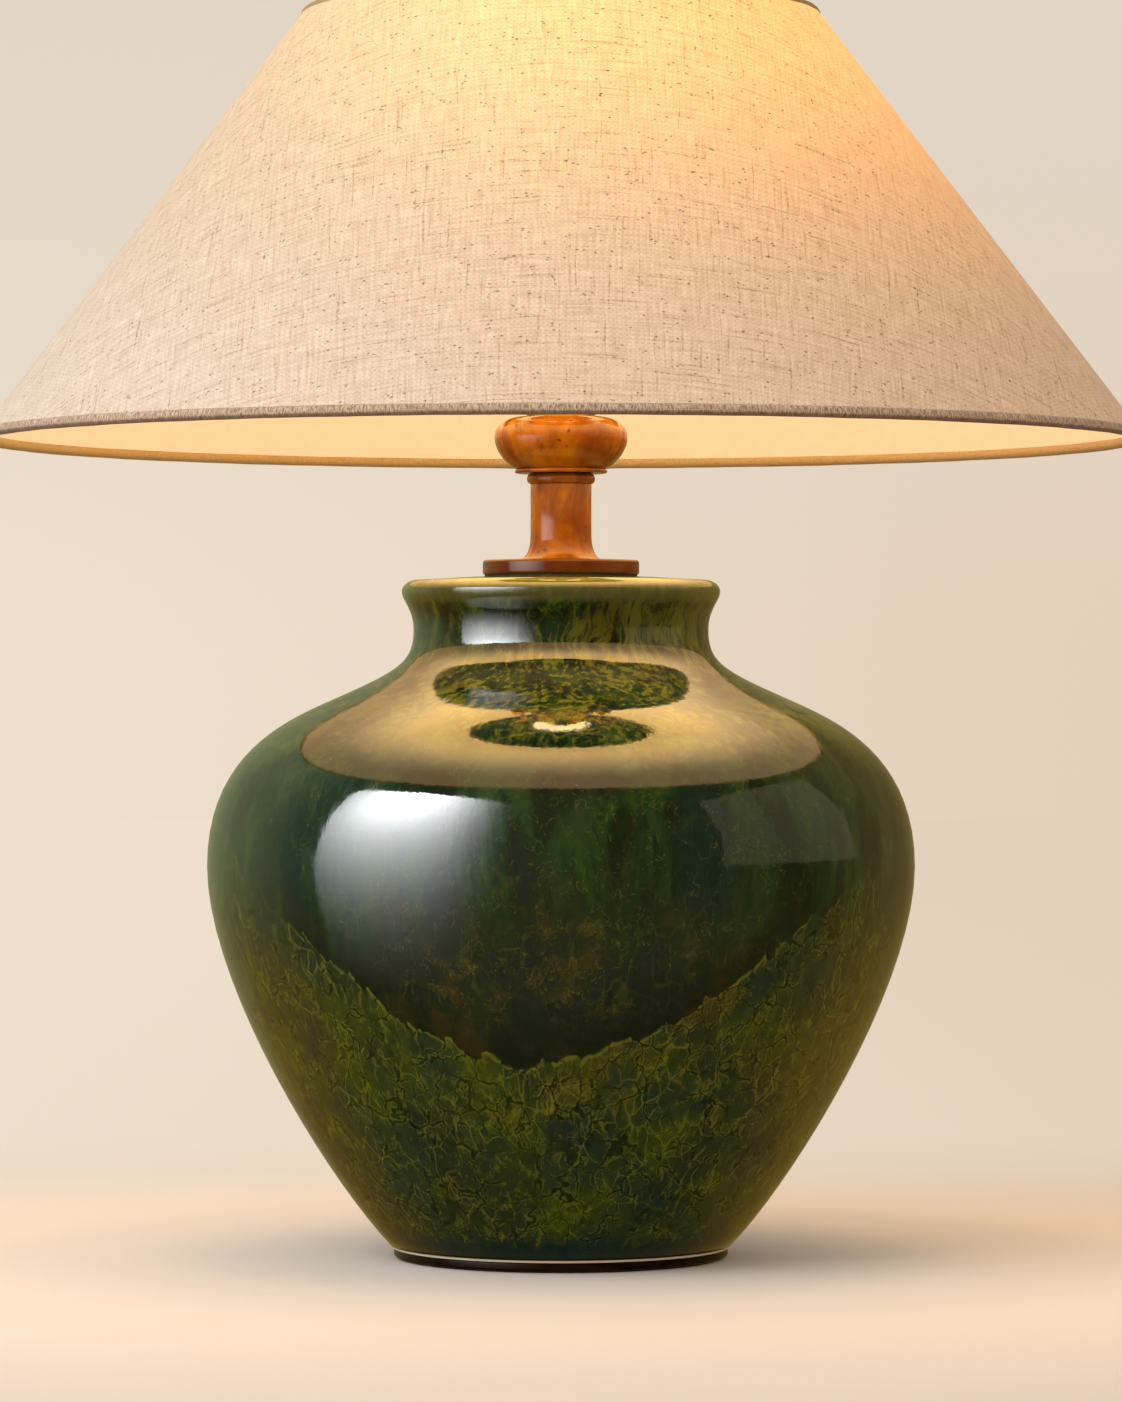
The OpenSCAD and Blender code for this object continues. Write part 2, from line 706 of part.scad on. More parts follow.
module shade_bottom_roll() {
    color([0.6, 0.52, 0.45]) rotate_extrude($fn = 180)
        on_slope(wire_u) translate([roll_n, 0]) roll_section();
}
top_ring = [shade_top_r + wire_n * cos(slope) + wire_u * sin(slope),
            shade_top_z + wire_n * sin(slope) - wire_u * cos(slope)];
arm_climb = 45; // slope of an arm's outer end
arm_bend_r = 6;
arm_z = washer_seat_z + spider_washer_t / 2;
arm_up = (top_ring[1] - arm_z - arm_bend_r * (1 - cos(arm_climb))) / sin(arm_climb);
arm_out = top_ring[0] - arm_bend_r * sin(arm_climb) - arm_up * cos(arm_climb);
module spider_arm(r) {
    translate([0, 0, arm_z]) rotate([0, 90, 0]) wire_run([arm_out, [arm_bend_r, arm_climb], arm_up], r);
}
module spider_all_arms(r) {
    for (i = [0:spider_arms - 1]) rotate(90 + i * 360 / spider_arms) spider_arm(r);
}
washer_play = 0.4;
module shade_spider() {
    color("silver") {
        rotate_extrude($fn = 120) translate(top_ring) circle(r = ring_wire_r, $fn = 24);
        difference() {
            union() {
                spider_all_arms(arm_r);
                translate([0, 0, washer_seat_z]) cylinder(r = spider_washer_r, h = spider_washer_t);
            }
            translate([0, 0, arm_z]) cylinder(r = stud_r + washer_play, h = 4 * arm_r, center = true);
        }
    }
}
module shade_top_roll() {
    color([0.42, 0.36, 0.31]) difference() {
        rotate_extrude($fn = 180)
            on_slope(slant - wire_u) mirror([0, 1]) translate([roll_n, 0]) roll_section();
        spider_all_arms(arm_r + fit);
    }
}

// Finial

module finial_bush() {
    color("darkgoldenrod") translate([0, 0, finial_z]) difference() {
        rotate_extrude() disc_section(bush_r, bush_h, 0.8);
        translate([0, 0, -eps]) cylinder(r = stud_r + run, h = bush_h + 2 * eps);
    }
}
module finial_knob() {
    hole_h = stud_h - bush_h; // leaves room over the stud's end
    waist = [bush_r - 2.4, 0];
    wide = [finial_r, finial_h * 0.55];
    side = concat(curve(waist, waist + [-0.6, 3], wide - [0, 5], wide, 10),
                  rest(curve(wide, wide + [0, finial_h * 0.28], [finial_r * 0.5, finial_h], [0, finial_h], 10)));
    color([0.57, 0.29, 0.1]) translate([0, 0, finial_z + bush_h + seat_gap]) difference() {
        rotate_extrude() polygon(concat([[0, 0]], side));
        translate([0, 0, -eps]) cylinder(r = stud_r + run, h = hole_h);
    }
}

felt_pad();
foot_plate();
jar();
cord_grommet();
neck_gasket();
flat_washer();
lock_washer();
pipe_nut();
lamp_pipe();
neck_column();
neck_collar();
neck_knob();
check_ring();
harp_saddle();
harp_wire();
harp_stud();
harp_ferrule(-1);  // harp_ferrule_left
harp_ferrule(1);  // harp_ferrule_right
socket_cap();
set_screw();
socket_shell();
socket_liner();
switch_body();
screw_shell();
centre_contact();
terminal_screws();
switch_stem();
switch_key();
bulb_contact();
bulb_cap();
bulb_glass();
shade_spider();
shade_bottom_ring();
shade_lining();
shade_cover();
shade_top_roll();
shade_bottom_roll();
finial_bush();
finial_knob();
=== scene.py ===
import math

import bpy
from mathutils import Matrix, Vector


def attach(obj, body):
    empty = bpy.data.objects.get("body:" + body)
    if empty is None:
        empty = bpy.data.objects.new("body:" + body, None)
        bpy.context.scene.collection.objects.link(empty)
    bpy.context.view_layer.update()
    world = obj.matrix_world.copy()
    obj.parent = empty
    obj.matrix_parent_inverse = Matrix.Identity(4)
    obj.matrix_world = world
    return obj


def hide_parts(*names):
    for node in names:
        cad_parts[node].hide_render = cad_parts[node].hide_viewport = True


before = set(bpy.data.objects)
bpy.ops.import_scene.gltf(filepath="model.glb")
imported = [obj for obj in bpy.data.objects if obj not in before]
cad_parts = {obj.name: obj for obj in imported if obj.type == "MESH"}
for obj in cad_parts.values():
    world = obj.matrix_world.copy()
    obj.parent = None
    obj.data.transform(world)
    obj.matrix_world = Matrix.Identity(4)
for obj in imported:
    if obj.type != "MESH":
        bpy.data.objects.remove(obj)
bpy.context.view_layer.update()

# Bedside lamp: a glazed jar, a turned neck and a linen shade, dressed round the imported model.
# Outlines are (radius, height) in millimetres, and everything made from them is in metres.

mm = 0.001
print("model loaded")


def hexColour(text):  # "#rrggbb" as it looks on screen, to the numbers a socket takes
    values = [int(text[i:i + 2], 16) / 255 for i in (1, 3, 5)]
    return tuple(v / 12.92 if v <= 0.04045 else ((v + 0.055) / 1.055) ** 2.4 for v in values) + (1.0,)


def colours(values):  # the colours of a dictionary, ready for sockets
    return {key: hexColour(value) for key, value in values.items() if isinstance(value, str)}


class Wire:  # a node's output, so that masks are written as sums
    def __init__(self, paint, socket):
        self.paint = paint
        self.socket = socket

    def maths(self, operation, *values):  # with no values, on this output alone
        return self.paint.add("ShaderNodeMath", {"operation": operation}, dict(enumerate(values or (self,))))

    def other(self, name):  # another output of the same node
        return Wire(self.paint, self.socket.node.outputs[name])

    def __add__(self, value):
        return self.maths("ADD", self, value)

    def __sub__(self, value):
        return self.maths("SUBTRACT", self, value)

    def __rsub__(self, value):
        return self.maths("SUBTRACT", value, self)

    def __mul__(self, value):
        return self.maths("MULTIPLY", self, value)

    def __abs__(self):
        return self.maths("ABSOLUTE")

    __radd__ = __add__
    __rmul__ = __mul__


class Paint:  # the nodes of one material, world or lamp
    def __init__(self, owner):
        self.owner = owner
        owner.use_nodes = True
        self.tree = owner.node_tree
        self.tree.nodes.clear()

    def add(self, kind, settings=None, inputs=None, output=0):
        node = self.tree.nodes.new(kind)
        for key, value in (settings or {}).items():
            setattr(node, key, value)
        for key, value in (inputs or {}).items():
            if isinstance(key, int):
                socket = node.inputs[key]
            else:
                socket = next(s for s in node.inputs if key in (s.identifier, s.name))
            if isinstance(value, Wire):
                self.tree.links.new(value.socket, socket)
            else:
                socket.default_value = value
        return Wire(self, node.outputs[output]) if len(node.outputs) else None

    def place(self):
        return self.add("ShaderNodeTexCoord", output="Object")

    def cut(self):  # the flat cut of a cloth, in metres
        return self.add("ShaderNodeTexCoord", output="UV")

    def axes(self, vector):
        return self.add("ShaderNodeSeparateXYZ", None, {"Vector": vector})

    def joined(self, x, y, z):
        return self.add("ShaderNodeCombineXYZ", None, {0: x, 1: y, 2: z})

    def stretched(self, vector, scale):
        return self.add("ShaderNodeMapping", None, {"Vector": vector, "Scale": scale})

    def noise(self, vector, scale, detail=3.0, roughness=0.5):
        return self.add("ShaderNodeTexNoise", None,
                        {"Vector": vector, "Scale": scale, "Detail": detail, "Roughness": roughness})

    def streaks(self, vector, scales, detail=3.0, roughness=0.5):  # noise with a scale for each axis
        return self.noise(self.stretched(vector, scales), 1.0, detail, roughness)

    def cells(self, vector, scale, feature="F1"):
        return self.add("ShaderNodeTexVoronoi", {"feature": feature}, {"Vector": vector, "Scale": scale})

    def smooth(self, value, low, high, toLow=0.0, toHigh=1.0):
        return self.add("ShaderNodeMapRange", {"interpolation_type": "SMOOTHSTEP"},
                        {"Value": value, "From Min": low, "From Max": high,
                         "To Min": toLow, "To Max": toHigh})

    def mix(self, factor, a, b, blend="MIX"):
        return self.add("ShaderNodeMix", {"data_type": "RGBA", "blend_type": blend},
                        {"Factor_Float": factor, "A_Color": a, "B_Color": b}, "Result")

    def dimmed(self, colour, level):  # a colour times a number
        return self.mix(1.0, colour, self.joined(level, level, level), "MULTIPLY")

    def span(self, x, y):  # how far a point is from x = y = 0
        return self.add("ShaderNodeVectorMath", {"operation": "LENGTH"}, {0: self.joined(x, y, 0.0)}, "Value")

    def shifted(self, vector, push, amount):  # moves a pattern's coordinates by a noise's colour
        centred = self.add("ShaderNodeVectorMath", {"operation": "SUBTRACT"}, {0: push, 1: (0.5, 0.5, 0.5)})
        scaled = self.add("ShaderNodeVectorMath", {"operation": "SCALE"}, {0: centred, "Scale": amount})
        return self.add("ShaderNodeVectorMath", {"operation": "ADD"}, {0: vector, 1: scaled})

    def curls(self, vector, scale, lines, width):  # thin curly lines, the level lines of a noise
        levels = self.noise(vector, scale, 4.0, 0.6) * lines
        return self.smooth(abs(levels.maths("FRACT") - 0.5), width, 0.0)

    def bump(self, height, distance, strength):
        return self.add("ShaderNodeBump", None,
                        {"Height": height, "Distance": distance, "Strength": strength})

    def finish(self, **inputs):  # names as Base_Color, with _ for a space
        sockets = {key.replace("_", " "): value for key, value in inputs.items()}
        shader = self.add("ShaderNodeBsdfPrincipled", None, sockets)
        self.add("ShaderNodeOutputMaterial", None, {"Surface": shader})
        return self.owner


def newPaint(name):
    return Paint(bpy.data.materials.new(name))


# Green running glaze over crazed olive, with a darker second pour between them. Lengths are in metres.
# A pair whose name ends in From holds the two heights between which a look sets in.
glaze = {
    "leaf": "#0f3415", "teal": "#0d2e27", "deep": "#0b160a", "grey": "#222d1d", "shade": "#080b04",
    "moss": "#3e4a12", "straw": "#84842a", "ochre": "#5a4713", "pour": "#1d261f", "clay": "#d8c6a6",
    "band": "#0b2a2a", "lip": "#63663a",
    "cellsPerMetre": 128.0, "smallCells": 2.3, "curlsPerMetre": 150.0, "ior": 1.9,
    "pourLow": 0.082, "pourRise": 0.1, "pourTurn": 0.05, "pourBead": 0.028, "pourEdge": 0.0004,
    "greenFrom": (0.115, 0.158), "bandFrom": (0.017, 0.009), "clayFrom": (0.00495, 0.0048),
    # lip is a painted reflection on the lip, and the crest's straw is painted light from the shade
    "lipFrom": (0.2515, 0.2545), "crestFrom": (0.2585, 0.2612), "crestRadii": (0.046, 0.057),
}


def glazeNoises(p, place):  # shared by the masks below, from broad to fine
    drift = p.noise(place, 9.0, 4.0, 0.6)
    patch = p.noise(place, 60.0)
    bent = p.shifted(place, patch.other("Color"), 0.012)
    flowing = p.shifted(place, drift.other("Color"), 0.03)
    return {
        "drift": drift, "patch": patch, "bent": bent,
        "broad": p.streaks(place, (15.0, 15.0, 5.0)),
        "runs": p.streaks(flowing, (70.0, 70.0, 9.0), 5.0, 0.6),
        "cloud": p.streaks(place, (42.0, 42.0, 26.0), 5.0, 0.65),
        "fine": p.noise(place, 110.0, 4.0, 0.6),
        "strokes": p.streaks(bent, (340.0, 340.0, 75.0), 3.0, 0.6),
    }


def greenGlaze(p, c, n, z):  # the neck and shoulder, in runs that flow down from the lip
    green = p.mix(p.smooth(n["runs"], 0.4, 0.62), c["deep"], c["leaf"])
    green = p.mix(p.smooth(n["broad"], 0.5, 0.66) * 0.6, green, c["teal"])
    mossy = p.smooth(n["runs"] * 0.6 + n["strokes"] * 0.4, 0.49, 0.6)
    green = p.mix(mossy * p.smooth(z, 0.185, 0.225, 0.3, 0.85), green, c["moss"])
    dry = p.smooth(n["strokes"] * 0.5 + n["cloud"] * 0.5, 0.46, 0.58)
    dry = dry * p.smooth(z, 0.185, 0.22, 0.0, 0.5) * p.smooth(z, 0.242, 0.23, 0.5, 1.0)
    green = p.mix(dry, green, c["straw"])
    return p.mix(p.smooth(n["drift"], 0.46, 0.6) * p.smooth(n["cloud"], 0.38, 0.58) * 0.6, green, c["grey"])


def oliveGlaze(p, c, n, place):  # the lower body: soft clouds under short upright strokes
    olive = p.mix(p.smooth(n["cloud"], 0.36, 0.68), c["grey"], c["moss"])
    rusty = p.smooth(n["drift"].other("Color"), 0.48, 0.66) * p.smooth(n["fine"], 0.35, 0.65, 0.1, 0.7)
    olive = p.mix(rusty, olive, c["ochre"])
    olive = p.mix(p.smooth(n["strokes"], 0.52, 0.7) * 0.25, olive, c["straw"])
    olive = p.mix(p.smooth(p.noise(place, 26.0), 0.48, 0.64) * 0.6, olive, c["teal"])
    return p.mix(p.smooth(n["strokes"], 0.44, 0.3) * 0.35, olive, c["shade"])


def crazing(p, n, place):  # cells that grow taller towards the foot, and what follows their edges
    warped = p.axes(p.shifted(place, p.noise(place, 75.0, 3.0, 0.6).other("Color"), 0.013))
    high = warped.other("Z")
    drawnOut = high * (high * 2.75 + 0.2)
    tall = p.joined(warped, warped.other("Y"), drawnOut)
    scale = glaze["cellsPerMetre"]
    gap = p.cells(tall, scale, "DISTANCE_TO_EDGE")
    middle = p.axes(p.cells(tall, scale).other("Position")).other("Z")
    bentTall = p.shifted(tall, n["fine"].other("Color"), 0.006)
    smallGap = p.cells(bentTall, scale * glaze["smallCells"], "DISTANCE_TO_EDGE")
    return {
        "gap": gap,
        "toMiddle": middle - drawnOut,
        "crack": p.smooth(gap, 0.045, 0.005) * p.smooth(n["fine"], 0.36, 0.52, 0.25, 1.0),
        "beside": p.smooth(gap, 0.045, 0.065) * p.smooth(gap, 0.13, 0.08) * p.smooth(n["fine"], 0.44, 0.56),
        "smallCrack": p.smooth(smallGap, 0.08, 0.0) * p.smooth(n["cloud"], 0.42, 0.56),
    }


def paintGlaze():
    p = newPaint("glaze")
    c = colours(glaze)
    place = p.place()
    axes = p.axes(place)
    x, y, z = axes, axes.other("Y"), axes.other("Z")
    n = glazeNoises(p, place)
    craze = crazing(p, n, place)
    # the second pour ends along the cells, in broad lobes, and is thickest there
    angle = p.add("ShaderNodeMath", {"operation": "ARCTAN2"}, {0: x, 1: y * -1.0})
    lobe = (angle + glaze["pourTurn"]).maths("SINE")
    edge = glaze["pourLow"] + lobe * lobe * glaze["pourRise"] + (n["drift"] - 0.5) * 0.02
    above = z + craze["toMiddle"] * 0.5 - edge
    underPour = p.smooth(above, -glaze["pourEdge"], glaze["pourEdge"])
    thick = p.smooth(z - edge, glaze["pourBead"], 0.0)
    pour = p.mix(p.smooth(n["cloud"], 0.4, 0.65) * 0.7, c["pour"], c["grey"])
    pour = p.mix(p.smooth(n["fine"] * 0.5 + n["cloud"] * 0.5, 0.5, 0.62) * 0.28, pour, c["ochre"])
    pour = p.mix(thick * 0.55, pour, c["shade"])
    body = p.mix(underPour * 0.95, oliveGlaze(p, c, n, place), pour)
    brim = p.smooth(abs(above + 0.0007), 0.0007, 0.0002)  # the pour breaks pale along its edge
    body = p.mix(brim * 0.3, body, c["straw"])
    ragged = z + (n["broad"] - 0.5) * 0.09 + (n["runs"] - 0.5) * 0.09
    body = p.mix(p.smooth(ragged, *glaze["greenFrom"]), body, greenGlaze(p, c, n, z))
    # thin yellow veins that wander upright, then the cracks; both fade upwards and under the pour
    veins = p.cells(p.stretched(n["bent"], (1.0, 1.0, 0.3)), glaze["curlsPerMetre"], "DISTANCE_TO_EDGE")
    vein = p.smooth(veins, 0.05, 0.0) * p.smooth(n["patch"], 0.42, 0.6)
    curl = p.curls(p.stretched(n["bent"], (1.0, 1.0, 0.7)), glaze["curlsPerMetre"], 5.0, 0.045)
    curl = curl * p.smooth(n["fine"], 0.38, 0.56)
    low = 1.0 - p.smooth(z, 0.11, 0.17) * 0.35 - underPour * 0.6
    hair = curl * 0.3 + vein * (low * 0.32 + 0.01) + craze["beside"] * 0.16 * low
    hair = hair * p.smooth(z, 0.08, 0.13, 1.0, 0.85) * (1.0 - underPour * thick * 0.75)
    body = p.mix(hair, body, c["straw"])
    body = p.mix((craze["smallCrack"] * 0.25 + craze["crack"] * 0.7) * low, body, c["shade"])
    # the foot: a dark teal band, darkened further as painted shade where the jar meets the plate, then bare
    # clay
    # the band is the glaze's own teal, and also painted shade at the foot
    band = p.smooth(z + (n["strokes"] - 0.5) * 0.012, *glaze["bandFrom"])
    body = p.mix(band * 0.9, body, c["band"])
    bare = p.smooth(z, *glaze["clayFrom"])
    body = p.mix(bare, body, c["clay"])
    # the lip is painted paler as a painted reflection, and its crest yellow-green as painted light from the
    # lit shade above
    body = p.mix(p.smooth(z, *glaze["lipFrom"]) * 0.6, body, c["lip"])
    crest = p.smooth(z, *glaze["crestFrom"]) * p.smooth(p.span(x, y), *glaze["crestRadii"], 0.15, 1.0)
    body = p.mix(crest * p.smooth(n["fine"], 0.35, 0.6, 0.4, 0.8), body, c["straw"])
    ripple = p.noise(place, 230.0, 2.0) * p.smooth(z, 0.17, 0.2, 0.3, 1.5)
    relief = p.smooth(craze["gap"], 0.0, 0.05) * low * 0.2 + n["strokes"] * 0.8 + n["runs"] * 1.2 + ripple
    gloss = p.smooth(n["runs"] * 0.6 + n["fine"] * 0.4, 0.4, 0.62, 0.03, 0.11)
    return p.finish(Base_Color=body, Roughness=gloss + bare * 0.8, IOR=glaze["ior"],
                    Normal=p.bump(relief, 0.00015, 0.2))


# Honey and amber wood under a clear coat. The disc at its foot is darker, up to the height given.
wood = {"honey": "#b16c00", "amber": "#804200", "burl": "#331304", "edge": "#4a2000", "disc": 0.2694,
        "knotsPerMetre": 190.0, "ior": 1.15, "coat": 0.75, "coatRoughness": 0.11}


def paintTurnedWood():
    p = newPaint("turnedWood")
    c = colours(wood)
    place = p.place()
    bent = p.shifted(place, p.noise(place, 30.0).other("Color"), 0.02)
    grain = p.streaks(bent, (260.0, 260.0, 50.0), 4.0, 0.6)
    patch = p.streaks(bent, (60.0, 60.0, 34.0), 4.0, 0.6)
    colour = p.mix(p.smooth(patch, 0.36, 0.64), c["amber"], c["honey"])
    colour = p.mix(p.smooth(grain, 0.45, 0.7) * 0.3, colour, c["edge"])
    low = p.smooth(p.axes(place).other("Z"), wood["disc"] + 0.001, wood["disc"])
    colour = p.mix(low * 0.8, colour, c["edge"])
    knots = p.cells(bent, wood["knotsPerMetre"])
    speck = p.smooth(knots, 0.2, 0.1) * p.smooth(p.noise(place, 60.0, 2.0), 0.53, 0.6)
    colour = p.mix(speck * 0.7, colour, c["burl"])
    return p.finish(Base_Color=colour, Roughness=p.smooth(grain, 0.3, 0.7, 0.4, 0.5), IOR=wood["ior"],
                    Normal=p.bump(grain * 0.5 - speck, 0.00012, 0.3),
                    Coat_Weight=wood["coat"], Coat_Roughness=wood["coatRoughness"])


darkWood = {"deep": "#0f0603", "brown": "#261108", "roughness": 0.32, "ior": 1.2, "coat": 0.1,
            "coatRoughness": 0.08}


def paintDarkWood():
    p = newPaint("darkWood")
    c = colours(darkWood)
    grain = p.streaks(p.place(), (40.0, 320.0, 320.0), 4.0, 0.6)
    colour = p.mix(p.smooth(grain, 0.4, 0.65), c["deep"], c["brown"])
    return p.finish(Base_Color=colour, Roughness=darkWood["roughness"], IOR=darkWood["ior"],
                    Normal=p.bump(grain, 0.0001, 0.3),
                    Coat_Weight=darkWood["coat"], Coat_Roughness=darkWood["coatRoughness"])


metals = {
    "brass": {"colour": "#c99a45", "dark": "#7d5a22", "roughness": 0.2},
    "steel": {"colour": "#b9bbbd", "dark": "#6f7072", "roughness": 0.28},
}


def paintMetal(name, metal):
    p = newPaint(name)
    c = colours(metal)
    place = p.place()
    tarnish = p.noise(place, 70.0, 5.0, 0.65)
    brushed = p.streaks(place, (900.0, 900.0, 60.0), 2.0)
    tone = p.mix(p.smooth(tarnish, 0.45, 0.72) * 0.6, c["colour"], c["dark"])
    rough = p.smooth(tarnish * 0.7 + brushed * 0.3, 0.3, 0.75, metal["roughness"], metal["roughness"] + 0.22)
    return p.finish(Base_Color=tone, Metallic=1.0, Roughness=rough, Normal=p.bump(brushed, 0.00004, 0.3))


# Finishes with a small grain: its scale per metre and its depth in metres.
plains = {
    "felt": {"colour": "#39452f", "dark": "#232b1c", "roughness": 0.95, "grain": 1500.0, "depth": 0.0006,
             "coat": 0.0},
    "rubber": {"colour": "#1d1b19", "dark": "#121110", "roughness": 0.6, "grain": 800.0, "depth": 0.0001,
               "coat": 0.0},
    "phenolic": {"colour": "#1c1411", "dark": "#0f0b09", "roughness": 0.3, "grain": 300.0, "depth": 0.00005,
                 "coat": 0.5},
    "board": {"colour": "#b98f5d", "dark": "#8f693c", "roughness": 0.85, "grain": 900.0, "depth": 0.0002,
              "coat": 0.0},
    "whiteWire": {"colour": "#e9e4d8", "dark": "#d3ccbc", "roughness": 0.35, "grain": 500.0, "depth": 0.00008,
                  "coat": 0.4},
}


def paintPlain(name, plain):
    p = newPaint(name)
    c = colours(plain)
    place = p.place()
    grain = p.noise(place, plain["grain"], 5.0, 0.7)
    cloud = p.noise(place, 40.0)
    tone = p.mix(p.smooth(grain * 0.7 + cloud * 0.3, 0.35, 0.65), c["dark"], c["colour"])
    rough = p.smooth(cloud, 0.3, 0.7, plain["roughness"], plain["roughness"] + 0.1)
    return p.finish(Base_Color=tone, Roughness=rough, Normal=p.bump(grain, plain["depth"], 0.5),
                    Coat_Weight=plain["coat"], Coat_Roughness=0.1)


# Oatmeal linen, lit through from inside. Its pattern follows the flat cut.
# low and high are the heights of its edges, and within the radius inside its rolled edge is lit.
# painted light: dark and pale are the cloth on the key-lit left, warm and palest the painted shade on the
# right, and top is a painted warm tint near the top
linen = {"pale": "#e2d4c4", "dark": "#beaa95", "palest": "#efd4b4", "warm": "#c9a887", "top": "#f0eddc",
         "slub": "#b98a5c", "fleck": "#5a3a22", "thin": "#ff9c3a", "glow": "#ffc05a",
         "pitch": 0.00112, "inside": 0.2225, "low": 0.3168, "high": 0.4819, "strength": 0.66}


def paintLinen():
    p = newPaint("linen")
    c = colours(linen)
    cut = p.cut()
    axes = p.axes(p.place())
    # threads that wander and change thickness, over a plain weave
    bent = p.shifted(cut, p.noise(cut, 70.0).other("Color"), 0.0016)
    turnsPerMetre = math.pi / linen["pitch"]
    threads = p.axes(p.stretched(bent, (turnsPerMetre, turnsPerMetre, 1.0)))
    weave = threads.maths("SINE") * threads.other("Y").maths("SINE")
    across = p.streaks(bent, (900.0, 60.0, 1.0), 3.0, 0.65)
    along = p.streaks(bent, (60.0, 900.0, 1.0), 3.0, 0.65)
    yarn = across * 0.5 + along * 0.5
    slub = (p.smooth(p.streaks(bent, (800.0, 34.0, 1.0), 2.0), 0.6, 0.72)
            + p.smooth(p.streaks(bent, (34.0, 800.0, 1.0), 2.0), 0.58, 0.7))
    # painted light: cooler and paler on the left where the key light falls, painted shade that is warmer and
    # darker on the right, and a painted cream tint where the light is behind it
    cloth = yarn * 0.85 + weave * 0.04 + 0.075
    pale = p.smooth(cloth, 0.31, 0.69)
    left = p.mix(pale, c["dark"], c["pale"])
    right = p.mix(pale, c["warm"], c["palest"])
    tone = p.mix(p.smooth(axes, -0.2, 0.15), left, right)
    up = p.smooth(axes.other("Z"), linen["low"], linen["high"])
    # painted light: a warm tint that grows towards the top, where the glow is behind the cloth
    tone = p.mix(up, tone, c["top"], "MULTIPLY")
    # thicker threads, and dark flecks in them
    tone = p.mix(slub * 0.35, tone, c["slub"])
    flecks = p.cells(p.stretched(bent, (430.0, 640.0, 1.0)), 1.0)
    fleck = p.smooth(flecks, 0.32, 0.16) * p.smooth(p.noise(cut, 260.0, 1.0), 0.54, 0.6)
    dash = slub * p.smooth(p.noise(bent, 800.0, 1.0), 0.5, 0.58)
    tone = p.mix(fleck * 0.7 + dash * 0.35, tone, c["fleck"])
    # the glow from inside, strongest near the top
    side = axes + axes.maths("MAXIMUM", axes.other("Y"), 0.0) * 2.0  # the back glows as the right does
    warmth = p.mix(up * 0.9 + p.smooth(side, -0.08, 0.12) * -0.7 + 0.26, c["thin"], c["glow"])
    lit = up * up * p.smooth(side, -0.13, 0.0, 0.2, 0.6) + up * p.smooth(side, -0.16, 0.12, 0.05, 0.75)
    level = p.smooth(cloth, 0.3, 0.66, 0.8, 1.05) * (1.0 - fleck * 0.7 - slub * 0.1 - dash * 0.3) * lit
    relief = yarn * 0.95 + weave * 0.1 - fleck * 0.4
    return p.finish(Base_Color=tone, Roughness=0.92, Normal=p.bump(relief, 0.0005, 0.5),
                    Emission_Color=p.dimmed(warmth, level), Emission_Strength=linen["strength"],
                    Sheen_Weight=0.15, Sheen_Roughness=0.5)


# The rolled edges: painted shade makes them darker underneath, and they are painted lit on the side towards
# the bulb.
linenEdge = {"dark": "#84694f", "pale": "#d2bba2", "broad": "#a08a72", "under": "#5b4128", "lit": "#a08656",
             "unlit": "#000000", "glow": 0.03}


def paintLinenEdge():
    p = newPaint("linenEdge")
    c = colours(linenEdge)
    cut = p.cut()
    threads = p.streaks(cut, (1600.0, 420.0, 1.0), 4.0, 0.7)
    tone = p.mix(p.smooth(threads, 0.38, 0.6), c["dark"], c["pale"])
    tone = p.mix(p.smooth(p.streaks(cut, (120.0, 60.0, 1.0)), 0.4, 0.7) * 0.4, tone, c["broad"])
    axes = p.axes(p.place())
    # painted shade on the roll's underside
    under = p.smooth(axes.other("Z"), linen["low"] - 0.0004, linen["low"] - 0.0014)
    tone = p.mix(under * 0.75, tone, c["under"])
    lit = p.smooth(p.span(axes, axes.other("Y")), linen["inside"] + 0.0008, linen["inside"] - 0.0008)
    tone = p.mix(lit * 0.8, tone, c["lit"])
    glow = p.mix(lit, c["unlit"], hexColour(linen["glow"]))
    return p.finish(Base_Color=tone, Roughness=0.93, Normal=p.bump(threads, 0.0006, 0.8),
                    Emission_Color=glow, Emission_Strength=linenEdge["glow"])


# floor and top are the light's share at the lining's foot and near its top.
lining = {"board": "#a98a5c", "low": "#ffdfae", "high": "#ffd284", "fibre": "#f3a850",
          "floor": 0.16, "top": 0.8, "strength": 4.2, "brightFrom": (0.336, 0.45), "topFrom": (0.41, 0.475)}


def paintLining():
    p = newPaint("lining")
    c = colours(lining)
    place = p.place()
    height = p.axes(place).other("Z")
    fibre = p.noise(place, 120.0, 4.0, 0.6)
    up = p.smooth(height, *lining["brightFrom"])
    glow = p.mix(up, c["low"], c["high"])
    glow = p.mix(p.smooth(fibre, 0.3, 0.7) * 0.1, glow, c["fibre"])
    level = up * (1.0 - lining["floor"]) + lining["floor"]
    level = level * p.smooth(height, *lining["topFrom"], 1.0, lining["top"])
    return p.finish(Base_Color=c["board"], Roughness=0.6, Normal=p.bump(fibre, 0.0002, 0.3),
                    Emission_Color=p.dimmed(glow, level), Emission_Strength=lining["strength"])


opal = {"glass": "#f6ecd8", "low": "#ffb45c", "high": "#ffe9c0", "brightFrom": (0.386, 0.43), "strength": 8.0}


def paintOpal():
    p = newPaint("opalGlass")
    c = colours(opal)
    glow = p.mix(p.smooth(p.axes(p.place()).other("Z"), *opal["brightFrom"]), c["low"], c["high"])
    return p.finish(Base_Color=c["glass"], Roughness=0.25, Emission_Color=glow,
                    Emission_Strength=opal["strength"], Coat_Weight=0.6, Coat_Roughness=0.11)


